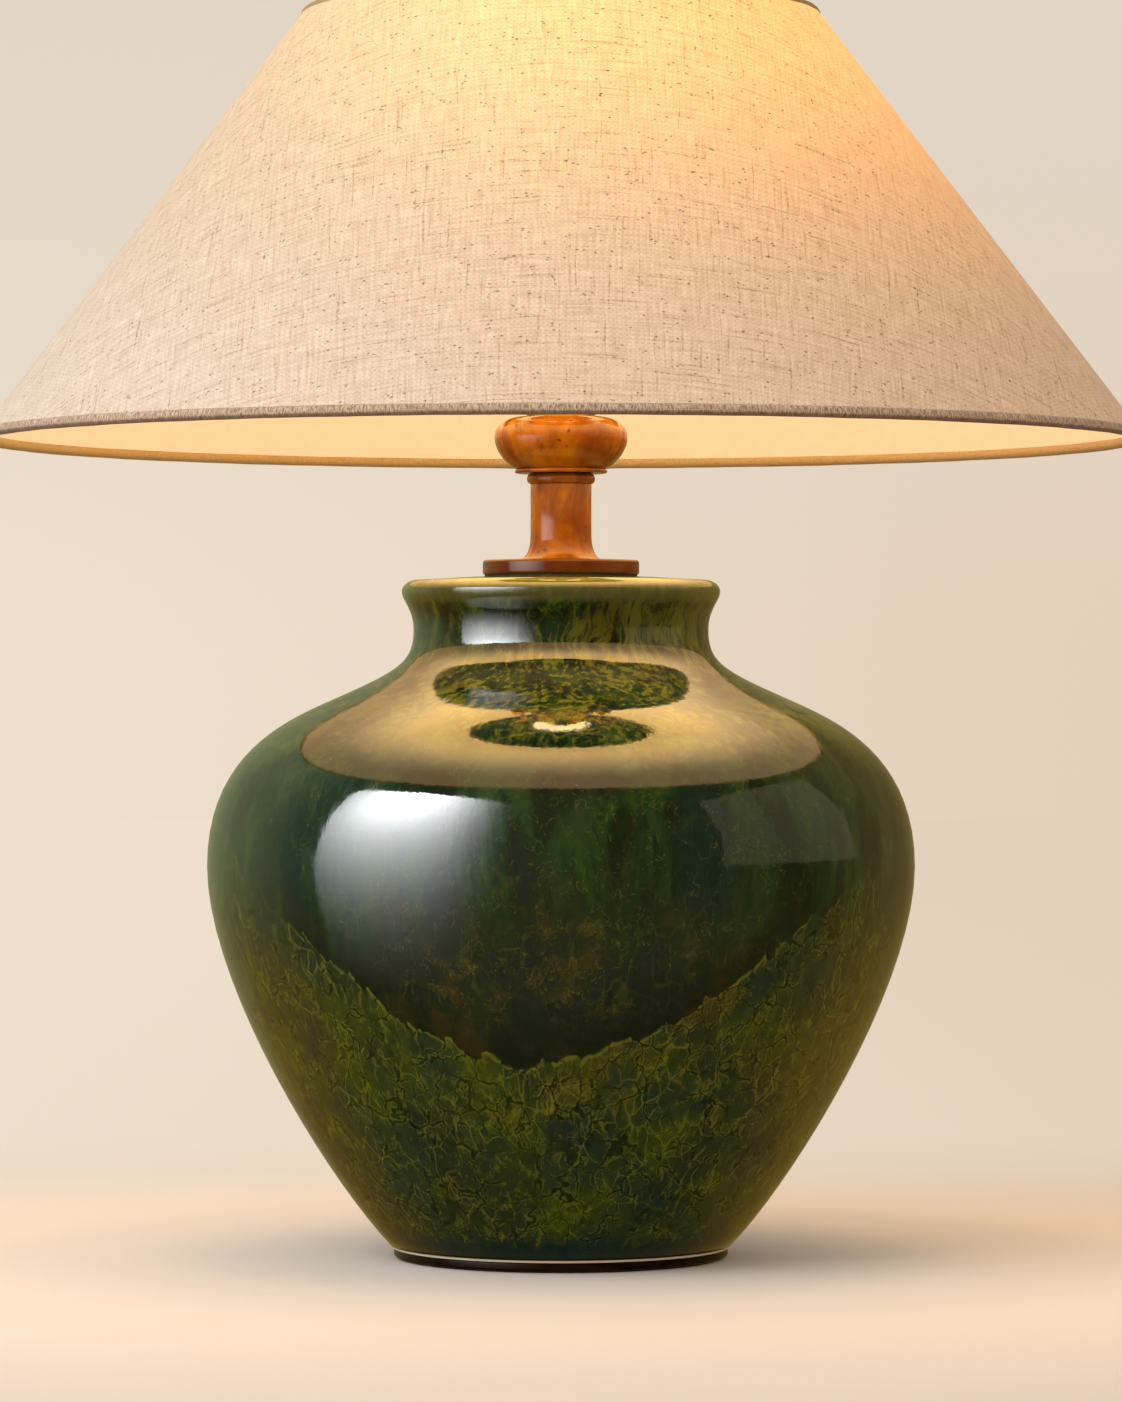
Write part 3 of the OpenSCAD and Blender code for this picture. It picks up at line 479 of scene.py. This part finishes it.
finishes = {
    "glaze": paintGlaze(),
    "turnedWood": paintTurnedWood(),
    "darkWood": paintDarkWood(),
    "linen": paintLinen(),
    "linenEdge": paintLinenEdge(),
    "lining": paintLining(),
    "opalGlass": paintOpal(),
}
for name, metal in metals.items():
    finishes[name] = paintMetal(name, metal)
for name, plain in plains.items():
    finishes[name] = paintPlain(name, plain)
print("materials painted")


def alone(piece):  # nothing but this piece is selected
    bpy.ops.object.select_all(action="DESELECT")
    piece.select_set(True)
    bpy.context.view_layer.objects.active = piece


def applied(piece, kind, **settings):
    alone(piece)
    modifier = piece.modifiers.new(kind.lower(), kind)
    for key, value in settings.items():
        setattr(modifier, key, value)
    bpy.ops.object.modifier_apply(modifier=modifier.name)


def smoothed(piece, degrees=35.0):
    alone(piece)
    bpy.ops.object.shade_smooth_by_angle(angle=math.radians(degrees))


def drawn(name, outline, closed, resolution):
    # a corner is (radius, height), and a curved point adds its pulls from before and after as (dr, dz)
    bpy.ops.object.select_all(action="DESELECT")
    bpy.ops.curve.primitive_bezier_curve_add(location=(0.0, 0.0, 0.0))
    piece = bpy.context.object
    piece.name = name
    spline = piece.data.splines[0]
    spline.bezier_points.add(len(outline) - len(spline.bezier_points))
    spline.use_cyclic_u = closed
    spline.resolution_u = resolution
    for knot, point in zip(outline, spline.bezier_points):
        at = Vector((knot[0], 0.0, knot[1])) * mm
        pulls = [Vector((dr, 0.0, dz)) * mm for dr, dz in knot[2:]] or [None, None]
        point.co = at
        kinds = ["VECTOR" if pull is None or pull.length == 0.0 else "FREE" for pull in pulls]
        point.handle_left_type, point.handle_right_type = kinds
        if kinds[0] == "FREE":
            point.handle_left = at + pulls[0]
        if kinds[1] == "FREE":
            point.handle_right = at + pulls[1]
    bpy.ops.object.convert(target="MESH")
    return bpy.context.object


def turned(name, outline, steps, closed=True, rounding=0.0, resolution=10):
    piece = drawn(name, outline, closed, resolution)
    bpy.ops.object.mode_set(mode="EDIT")
    bpy.ops.mesh.select_all(action="SELECT")
    bpy.ops.mesh.spin(steps=steps, angle=math.tau, center=(0.0, 0.0, 0.0), axis=(0.0, 0.0, 1.0))
    bpy.ops.mesh.select_all(action="SELECT")
    bpy.ops.mesh.remove_doubles(threshold=2e-6)
    bpy.ops.mesh.normals_make_consistent(inside=False)
    bpy.ops.object.mode_set(mode="OBJECT")
    if rounding:
        applied(piece, "BEVEL", width=rounding * mm, segments=3, limit_method="ANGLE",
                angle_limit=math.radians(40.0))
    smoothed(piece)
    return piece


def dressed(piece, body, finish, slot, *nodes):
    piece.data.materials.clear()
    piece.data.materials.append(finishes[finish])
    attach(piece, body)
    if nodes:
        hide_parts(*nodes)


roundPull = 0.552  # how far a quarter circle's pulls reach, as a share of its radius


def rounded(r, h, z, edge, inner=None):
    # a disc or ring's outline, its outer edges rounded by edge
    k = edge * roundPull
    points = [(r - edge, z, (0.0, 0.0), (k, 0.0)), (r, z + edge, (0.0, -k), (0.0, 0.0)),
              (r, z + h - edge, (0.0, 0.0), (0.0, k)), (r - edge, z + h, (k, 0.0), (0.0, 0.0))]
    return points + ([(0.0, z + h), (0.0, z)] if inner is None else [(inner, z + h), (inner, z)])


def pull(degrees, length):  # a curve's pull as (dr, dz), its angle outwards from upright
    angle = math.radians(degrees)
    return math.sin(angle) * length, math.cos(angle) * length


# The jar's whole section: its outside, the seat, the hollow, the floor and the foot ring.
# flare and lean are how its foot and shoulder slope, in degrees outwards from upright.
jarShape = {"seat": 263.0, "flare": 43.5, "lean": -66.0}
bore = 5.3  # the radius of the hole for the pipe
inlet = {"tilt": math.radians(-90.0 - 38.37), "radius": 5.25, "depth": 18.0,  # the cord's hole in the jar
         "drill": (72.6, 18.2), "grommet": (75.39, 16.0)}  # places, as how far back and how high


def makeJar():
    seat, flare, lean = jarShape["seat"], jarShape["flare"], jarShape["lean"]
    outside = [
        (58.0, 4.0), (65.3, 4.0), (65.3, 4.8),
        (66.0, 5.0, (0.0, 0.0), pull(flare, 35.4)),
        (136.8, 151.4, (0.0, -45.4), (0.0, 43.3)),
        (88.6, 215.5, pull(lean, -19.4), pull(lean, 27.7)),
        (57.1, 242.5, (0.0, -12.8), (0.0, 8.5)),
        (61.6, 257.5, (0.0, -4.0), (0.0, 2.4)),
        (56.5, 261.8, (2.4, 0.0), (-4.0, 0.0)),
        (31.3, seat, (8.0, 0.0), (0.0, 0.0)),
    ]
    hollow = [
        (bore, seat), (bore, 255.8),
        (51.6, 255.8, (0.0, 0.0), (0.0, -4.0)),
        (51.1, 242.5, (0.0, 6.0), (0.0, -12.8)),
        (86.2, 210.0, pull(lean, 27.7), pull(lean, -16.0)),
        (130.8, 151.4, (0.0, 43.0), (0.0, -45.0)),
        (81.5, 36.0, pull(flare, 20.0), (0.0, 0.0)),
        (bore, 36.0), (bore, 30.0), (76.0, 30.0), (58.0, 9.0),
    ]
    jar = turned("glazedJar", outside + hollow, steps=160, rounding=0.2, resolution=18)
    bpy.ops.object.select_all(action="DESELECT")
    back, height = inlet["drill"]
    bpy.ops.mesh.primitive_cylinder_add(vertices=48, radius=inlet["radius"] * mm, depth=inlet["depth"] * mm,
                                        location=(0.0, back * mm, height * mm),
                                        rotation=(inlet["tilt"], 0.0, 0.0))
    drill = bpy.context.object
    applied(jar, "BOOLEAN", operation="DIFFERENCE", object=drill, solver="EXACT")
    bpy.data.objects.remove(drill)
    smoothed(jar)
    dressed(jar, "base", "glaze", "glaze", "jar")


feltPad = {"radius": 62.0, "thick": 0.8, "edge": 0.3}


def makeFoot():
    top = feltPad["thick"]
    outline = rounded(64.6, 3.2, top, 0.8)[:4] + [
        (57.6, 4.0), (57.6, 9.0), (46.0, 9.0), (46.0, 4.0), (0.0, 4.0), (0.0, top)]
    plate = turned("footPlate", outline, steps=128, rounding=0.15, resolution=6)
    dressed(plate, "base", "darkWood", "dark_wood", "foot_plate")
    outline = rounded(feltPad["radius"], top, 0.0, feltPad["edge"])
    felt = turned("feltPad", outline, steps=128, resolution=4)
    dressed(felt, "base", "felt", "felt", "felt_pad")


# The heights where the neck's pieces meet, from the gasket up.
neck = {"foot": 263.8, "disc": 269.6, "collar": 299.0, "knob": 303.2, "top": 325.2}


def makeNeck():
    foot, disc, low, high, top = neck["foot"], neck["disc"], neck["collar"], neck["knob"], neck["top"]
    outline = rounded(30.3, disc - foot, foot, 1.2)[:4] + [
        (16.0, disc, (0.0, 0.0), (-2.6, 1.2)),
        (11.8, 279.1, (0.0, -5.5), (0.0, 0.0)),
        (11.8, low), (bore, low), (bore, foot)]
    column = turned("neckColumn", outline, steps=128, rounding=0.15)
    dressed(column, "base", "turnedWood", "turned_wood", "neck_column")
    collar = turned("neckCollar", rounded(13.2, high - low, low, 1.9, bore), steps=96, resolution=8)
    dressed(collar, "base", "turnedWood", "turned_wood", "neck_collar")
    outline = rounded(17.9, 1.7, high, 0.8)[:4] + [
        (17.1, 304.9, (0.0, 0.0), (3.4, 1.3)),
        (25.8, 317.28, (0.0, -5.8), (0.0, 5.0)),
        (13.6, top, (7.0, 0.0), (0.0, 0.0)),
        (bore, top), (bore, high)]
    knob = turned("neckKnob", outline, steps=128, rounding=0.1, resolution=16)
    dressed(knob, "base", "turnedWood", "turned_wood", "neck_knob")


def makeGrommet():
    outline = [(3.4, 2.05), (3.4, -7.9), (6.4, -7.9), (6.4, -6.4),
               (5.2, -6.4), (5.2, 0.05), (7.6, 0.05), (7.6, 2.05)]
    grommet = turned("cordGrommet", outline, steps=64, rounding=0.5)
    alone(grommet)
    back, height = inlet["grommet"]
    grommet.rotation_euler = (inlet["tilt"], 0.0, 0.0)
    grommet.location = (0.0, back * mm, height * mm)
    bpy.ops.object.transform_apply(location=True, rotation=True, scale=True)
    dressed(grommet, "base", "rubber", "rubber", "cord_grommet")


thread = {"start": 368.6, "turns": 4, "pitch": 3.6, "root": 12.3, "crest": 13.0}  # the cap's rolled thread


def makeBulb():
    glass = turned("bulbGlass", [
        (12.2, 382.3), (12.2, 388.3, (0.0, 0.0), (0.5, 10.0)),
        (24.0, 421.3, (0.0, -14.0), (0.0, 13.25)), (0.0, 445.3, (13.25, 0.0), (0.0, 0.0))],
        closed=False, steps=96, resolution=16)
    dressed(glass, "bulb", "opalGlass", "opal_glass", "bulb_glass")
    glass.visible_shadow = False
    outline = [(4.6, 363.35), (12.4, 367.6)]
    for i in range(thread["turns"]):
        base = thread["start"] + i * thread["pitch"]
        outline += [(thread["root"], base, (0.0, -0.5), (0.0, 0.5)),
                    (thread["crest"], base + thread["pitch"] / 2.0, (0.0, -0.6), (0.0, 0.6))]
    outline += [(12.5, 384.2), (12.9, 386.3), (12.3, 386.3), (11.9, 383.0), (11.9, 368.2), (4.6, 364.2)]
    cap = turned("bulbCap", outline, steps=72, resolution=5)
    dressed(cap, "bulb", "steel", "steel", "bulb_cap")


finial = {"base": 477.3, "height": 22.0, "widest": 12.1, "radius": 10.5, "bore": 3.2, "depth": 6.0}


def makeFinial():
    base, hole = finial["base"], finial["bore"]
    knob = turned("finialKnob", [
        (hole, base), (5.2, base, (0.0, 0.0), (-0.6, 3.0)),
        (finial["radius"], base + finial["widest"], (0.0, -5.0), (0.0, 6.16)),
        (0.0, base + finial["height"], (5.25, 0.0), (0.0, 0.0)),
        (0.0, base + finial["depth"]), (hole, base + finial["depth"])],
        steps=96, resolution=14)
    dressed(knob, "finial", "turnedWood", "turned_wood", "finial_knob")
    bush = turned("finialBush", [
        (hole, 472.2), (6.8, 472.2), (7.6, 473.0), (7.6, 473.9), (7.1, 474.3),
        (7.1, 475.1), (7.6, 475.5), (7.6, 476.4), (6.8, 477.2), (hole, 477.2)],
        steps=96, rounding=0.15)
    dressed(bush, "finial_rest", "brass", "brass", "finial_bush")


# Half of the harp's wire, as straight lengths and (radius, degrees) bends from its foot to the crown.
harp = {"radius": 1.5, "foot": (26.35, 330.0), "top": 467.2, "stepDegrees": 4.0,
        "bends": [(24.0, -32.0), 14.0, (36.0, 32.0), 8.0, (56.0, 45.0), 3.0, (20.0, 45.0)]}


def wirePath(steps, start):  # points of a bent wire in the XZ plane, setting out upwards
    points, heading, at = [start], 0.0, Vector(start)
    for step in steps:
        if isinstance(step, tuple):
            radius, turn = step
            count = max(3, int(abs(turn) / harp["stepDegrees"]))
            half = math.radians(turn / count) / 2.0
            for _ in range(count):
                heading += half
                chord = 2.0 * radius * math.sin(abs(half))
                at = at + chord * Vector((-math.sin(heading), math.cos(heading)))
                heading += half
                points.append(tuple(at))
        else:
            at = at + step * Vector((-math.sin(heading), math.cos(heading)))
            points.append(tuple(at))
    return points


def makeHarp():
    rise = wirePath(harp["bends"], (0.0, 0.0))[-1][1]
    upright = harp["top"] - harp["foot"][1] - rise  # what the bends leave to a straight length
    side = wirePath([upright] + harp["bends"], harp["foot"])
    points = side + [(-x, z) for x, z in reversed(side)]
    bpy.ops.object.select_all(action="DESELECT")
    bpy.ops.curve.primitive_nurbs_path_add(location=(0.0, 0.0, 0.0))
    wire = bpy.context.object
    wire.name = "harpWire"
    wire.data.splines.clear()
    spline = wire.data.splines.new("POLY")
    spline.points.add(len(points) - 1)
    for point, (x, z) in zip(spline.points, points):
        point.co = (x * mm, 0.0, z * mm, 1.0)
    wire.data.bevel_depth = harp["radius"] * mm
    wire.data.bevel_resolution = 5
    wire.data.use_fill_caps = True
    bpy.ops.object.convert(target="MESH")
    wire = bpy.context.object
    smoothed(wire, 50.0)
    dressed(wire, "base", "brass", "brass", "harp_wire")


# The shade: a cone of linen on a stiff lining, its edges rolled over two ring wires.
# The linen laps over itself at the back, and starts to lift clear of its first edge before it comes round.
shade = {"bottom": (224.4, 316.8), "top": (99.0, 481.9), "cover": 0.7, "gap": 0.05, "lining": 0.4,
         "lap": 10.0, "lapGap": 0.08, "liftBefore": 0.10, "liftOver": 0.07, "around": 288, "up": 40}
(bottomRadius, bottomHeight), (topRadius, topHeight) = shade["bottom"], shade["top"]
slant = math.hypot(topRadius - bottomRadius, topHeight - bottomHeight)


def onSlope(n, u):  # n out of the linen and u up the slope, as radius and height
    sx, sz = (topRadius - bottomRadius) / slant, (topHeight - bottomHeight) / slant
    return bottomRadius + sx * u + sz * n, bottomHeight + sz * u - sx * n


def coneSheet(name, n, thickness, lap):
    sine = (bottomRadius - topRadius) / slant
    bpy.ops.object.select_all(action="DESELECT")
    bpy.ops.mesh.primitive_grid_add(x_subdivisions=shade["around"], y_subdivisions=shade["up"], size=1.0)
    sheet = bpy.context.object
    sheet.name = name
    uv = sheet.data.uv_layers[0]
    flat = {}
    for vertex in sheet.data.vertices:
        s, t = vertex.co.x + 0.5, vertex.co.y + 0.5
        u = t * slant
        r, z = onSlope(n, u)
        angle = s * (math.tau + lap / r)
        past = max(0.0, angle - math.tau + shade["liftBefore"])
        lift = (shade["cover"] + shade["lapGap"]) * min(1.0, past / shade["liftOver"]) if lap else 0.0
        r, z = onSlope(n + lift, u)
        reach = (bottomRadius / sine - u) * mm
        turn = (angle - math.pi) * sine
        flat[vertex.index] = (reach * math.sin(turn), -reach * math.cos(turn))
        # the sheet's first edge is at the back, and it goes round past the front
        vertex.co = (r * mm * -math.sin(angle), r * mm * math.cos(angle), z * mm)
    for loop in sheet.data.loops:
        uv.data[loop.index].uv = flat[loop.vertex_index]
    alone(sheet)
    bpy.ops.object.mode_set(mode="EDIT")
    bpy.ops.mesh.select_all(action="SELECT")
    if not lap:  # its two edges meet
        bpy.ops.mesh.remove_doubles(threshold=1e-5)
    bpy.ops.object.mode_set(mode="OBJECT")
    middle = sheet.data.polygons[len(sheet.data.polygons) // 2]
    if middle.normal.dot(Vector((middle.center.x, middle.center.y, 0.0))) < 0.0:
        sheet.data.flip_normals()
    applied(sheet, "SOLIDIFY", thickness=thickness * mm, offset=-1.0)
    smoothed(sheet, 50.0)
    return sheet


# The rolls, which wave a little and are thicker over the lap. A wave is (share, count, start).
roll = {"radius": 2.1, "in": 1.5, "up": 0.9, "waves": [(0.02, 23.0, 0.0), (0.015, 61.0, 1.0)],
        "swell": 0.42, "swellBefore": 0.05, "swellOver": 0.03}


def makeRoll(name, u):
    r, z = onSlope(-roll["in"], u)
    bpy.ops.object.select_all(action="DESELECT")
    bpy.ops.mesh.primitive_torus_add(major_segments=360, minor_segments=20, major_radius=r * mm,
                                     minor_radius=roll["radius"] * mm, location=(0.0, 0.0, 0.0))
    piece = bpy.context.object
    piece.name = name
    uv = piece.data.uv_layers[0]
    for loop in piece.data.loops:  # metres round the ring and over the roll
        share = uv.data[loop.index].uv
        uv.data[loop.index].uv = (share[0] * math.tau * r * mm, share[1] * math.tau * roll["radius"] * mm)
    for vertex in piece.data.vertices:
        angle = math.atan2(-vertex.co.x, vertex.co.y)
        ring = Vector((-math.sin(angle) * r * mm, math.cos(angle) * r * mm, 0.0))
        wave = sum(share * math.sin(angle * count + start) for share, count, start in roll["waves"])
        past = max(0.0, -roll["swellBefore"] - angle, angle - shade["lap"] / r)
        swell = roll["swell"] * math.exp(-(past / roll["swellOver"]) ** 2)
        vertex.co = ring + (vertex.co - ring) * (1.0 + wave + swell) + Vector((0.0, 0.0, z * mm))
    smoothed(piece, 60.0)
    dressed(piece, "shade", "linenEdge", "linen_edge")
    return piece


def makeShade():
    cover = coneSheet("linenCover", 0.0, shade["cover"], shade["lap"])
    dressed(cover, "shade", "linen", "linen", "shade_cover")
    board = coneSheet("stiffLining", -(shade["cover"] + shade["gap"]), shade["lining"], 0.0)
    dressed(board, "shade", "lining", "lining", "shade_lining")
    low = makeRoll("bottomRoll", roll["up"])
    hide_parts("shade_bottom_roll")
    high = makeRoll("topRoll", slant - roll["up"])
    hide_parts("shade_top_roll")


# The camera is made first, then the pieces.
view = {"eye": (0.0, -2.145, 0.2151), "lens": 142.25, "sensor": 36.0}
bpy.ops.object.camera_add(location=view["eye"], rotation=(math.radians(90.0), 0.0, 0.0))
camera = bpy.context.object
camera.data.lens = view["lens"]
camera.data.sensor_width = view["sensor"]
bpy.context.scene.camera = camera

makeJar()
makeFoot()
makeNeck()
makeGrommet()
makeBulb()
makeFinial()
makeHarp()
makeShade()
print("pieces made")

# CAD nodes that stay as they are, by the finish that each gets.
kept = {
    "felt": ["neck_gasket"],
    "brass": ["check_ring", "pipe_nut", "harp_saddle", "harp_stud", "harp_ferrule_left", "harp_ferrule_right",
              "socket_cap", "socket_shell", "centre_contact", "terminal_screws", "switch_stem"],
    "steel": ["flat_washer", "lock_washer", "lamp_pipe", "set_screw", "screw_shell", "bulb_contact"],
    "board": ["socket_liner"],
    "phenolic": ["switch_body", "switch_key"],
    "whiteWire": ["shade_spider", "shade_bottom_ring"],
}
for finish, nodes in kept.items():
    for node in nodes:
        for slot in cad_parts[node].material_slots:
            slot.material = finishes[finish]
print("carried-over nodes painted")

# The floor and the room round the lamp. Values named gloss are for what metal and glaze mirror.
# The floor turns into the wall over horizon, and at the sides that starts further off, by plot.
stage = {"floor": "#ebe3db", "grain": "#d8cec5", "width": 16.0, "foreground": (-0.1, -0.5),
         "horizon": (0.10, 0.62), "plot": 0.55,
         "wallLow": "#efe0cd", "wallHigh": "#e2d5c6", "wallRight": "#e4d1bc",
         "wallRise": 0.13, "wallTurn": 0.11, "room": 0.76, "roomColour": "#ffeedb",
         "glossFront": 0.14, "glossBack": 0.5,
         "glossLow": "#c0923f", "glossLeft": "#dbe6b0", "glossRight": "#b89b5c"}


def paintFloor():
    p = newPaint("floor")
    c = colours(stage)
    place = p.place()
    axes = p.axes(place)
    x, y = axes, axes.other("Y")
    grain = p.noise(place, 220.0, 4.0, 0.6)
    tone = p.mix(p.smooth(grain, 0.3, 0.7) * 0.06, c["floor"], c["grain"])
    # painted shade: the floor turns darker towards the camera, in the grain colour
    tone = p.mix(p.smooth(y, *stage["foreground"]) * 0.9, tone, c["grain"])
    diffuse = p.add("ShaderNodeBsdfDiffuse", None, {"Color": tone})
    wallTone = p.mix(p.smooth(x, -0.5, 0.5), c["wallLow"], c["wallRight"])
    wall = p.add("ShaderNodeEmission", None, {"Color": wallTone, "Strength": 1.0})
    # it turns into the wall behind the lamp, and all round further off
    off = p.span(x, y) - stage["plot"]
    far = p.smooth(off.maths("MAXIMUM", off, y), *stage["horizon"])
    ray = p.add("ShaderNodeLightPath")
    shader = p.add("ShaderNodeMixShader", None, {0: far * ray.other("Is Camera Ray"), 1: diffuse, 2: wall})
    # the glaze mirrors the room and the softboxes only
    clear = p.add("ShaderNodeBsdfTransparent")
    shader = p.add("ShaderNodeMixShader", None, {0: ray.other("Is Glossy Ray"), 1: shader, 2: clear})
    p.add("ShaderNodeOutputMaterial", None, {"Surface": shader})
    return p.owner


bpy.ops.mesh.primitive_plane_add(size=stage["width"], location=(0.0, 0.0, 0.0))
floor = bpy.context.object
floor.name = "floor"
floor.data.materials.append(paintFloor())


def paintWorld():
    world = bpy.data.worlds.new("studio")
    bpy.context.scene.world = world
    p = Paint(world)
    c = colours(stage)
    way = p.axes(p.add("ShaderNodeTexCoord", output="Generated"))
    up = way.other("Z")
    # the backdrop, for the camera and through glass
    wall = p.mix(p.smooth(way, -stage["wallTurn"], stage["wallTurn"]), c["wallLow"], c["wallRight"])
    wall = p.mix(p.smooth(up, 0.0, stage["wallRise"]), wall, c["wallHigh"])
    backdrop = p.add("ShaderNodeBackground", None, {"Color": wall, "Strength": 1.0})
    # the room, plain where it lights and dimmer where it is mirrored
    glossy = p.add("ShaderNodeLightPath", output="Is Glossy Ray")
    level = p.smooth(up, -0.9, -0.35, 0.3, 1.0) * p.smooth(up, 0.97, 0.75, 0.1, 1.0)
    behind = p.smooth(way.other("Y"), -0.05, 0.5, stage["glossFront"], stage["glossBack"]) * level
    mirrored = p.mix(p.smooth(way, -0.4, 0.4), c["glossLeft"], c["glossRight"])
    mirrored = p.mix(p.smooth(up, -0.4, 0.1), c["glossLow"], mirrored)
    seen = p.mix(glossy, c["roomColour"], mirrored)
    strength = glossy * behind + (1.0 - glossy) * stage["room"]
    room = p.add("ShaderNodeBackground", None, {"Color": seen, "Strength": strength})
    straight = glossy.other("Is Camera Ray") + glossy.other("Is Transmission Ray")
    shader = p.add("ShaderNodeMixShader", None, {0: straight, 1: room, 2: backdrop})
    p.add("ShaderNodeOutputWorld", None, {"Surface": shader})


paintWorld()

# One softbox lights the scene, and two upright cards are only mirrored in what is glossy.
# Each is brightest at its hot spot, given across and up, and fades out from there. It also comes in
# over the pair fade, which is given across and may run either way.
softboxes = {
    "keyLight": {"at": (-0.80, -0.85, 1.0), "aim": 0.25, "size": (1.1, 1.1), "power": 11.5,
                 "colour": "#f6faff", "mirrored": False,
                 "hot": (0.5, 0.5), "reach": 9.0, "fall": 1.0, "fade": (-1.0, 0.0)},
    "keyCard": {"at": (-0.86, -0.775, 0.3), "aim": 0.3, "size": (1.55, 1.9), "power": 205.0,
                "colour": "#f8fbff", "mirrored": True,
                "hot": (0.37, 0.92), "reach": 1.1, "fall": 3.5, "fade": (1.0, 0.6)},
    "fillCard": {"at": (1.2, -0.25, 0.7), "aim": 0.7, "size": (1.25, 1.0), "power": 1.2,
                 "colour": "#ffe8c4", "mirrored": True,
                 "hot": (0.5, 0.7), "reach": 3.0, "fall": 1.0, "fade": (-1.0, 0.0)},
}


def softbox(name, box):
    bpy.ops.object.light_add(type="AREA", location=box["at"])
    lamp = bpy.context.object
    lamp.name = name
    lamp.data.shape = "RECTANGLE"
    lamp.data.size, lamp.data.size_y = box["size"]
    lamp.data.energy = box["power"]
    lamp.data.color = hexColour(box["colour"])[:3]
    towards = Vector((0.0, 0.0, box["aim"])) - Vector(box["at"])
    lamp.rotation_euler = towards.to_track_quat("-Z", "Y").to_euler()
    lamp.visible_diffuse = not box["mirrored"]
    lamp.visible_glossy = box["mirrored"]
    p = Paint(lamp.data)
    over = p.axes(p.add("ShaderNodeNewGeometry", output="Parametric"))
    distance = p.span(over - box["hot"][0], over.other("Y") - box["hot"][1])
    near = 1.0 - distance * (1.0 / box["reach"])
    near = near.maths("MAXIMUM", near, 0.0)
    level = near.maths("POWER", near, box["fall"]) * p.smooth(over, *box["fade"])
    light = p.add("ShaderNodeEmission", None, {"Color": (1.0, 1.0, 1.0, 1.0), "Strength": level})
    p.add("ShaderNodeOutputLight", None, {"Surface": light})


for name, box in softboxes.items():
    softbox(name, box)

glowing = {"height": 0.4213, "power": 0.5, "colour": "#ffc478", "radius": 0.02}  # the lamp in the bulb
bpy.ops.object.light_add(type="POINT", location=(0.0, 0.0, glowing["height"]))
bulbLight = bpy.context.object
bulbLight.name = "bulbLight"
bulbLight.data.energy = glowing["power"]
bulbLight.data.color = hexColour(glowing["colour"])[:3]
bulbLight.data.shadow_soft_size = glowing["radius"]

bpy.context.scene.view_settings.view_transform = "Standard"
print("stage set")

bpy.context.view_layer.update()
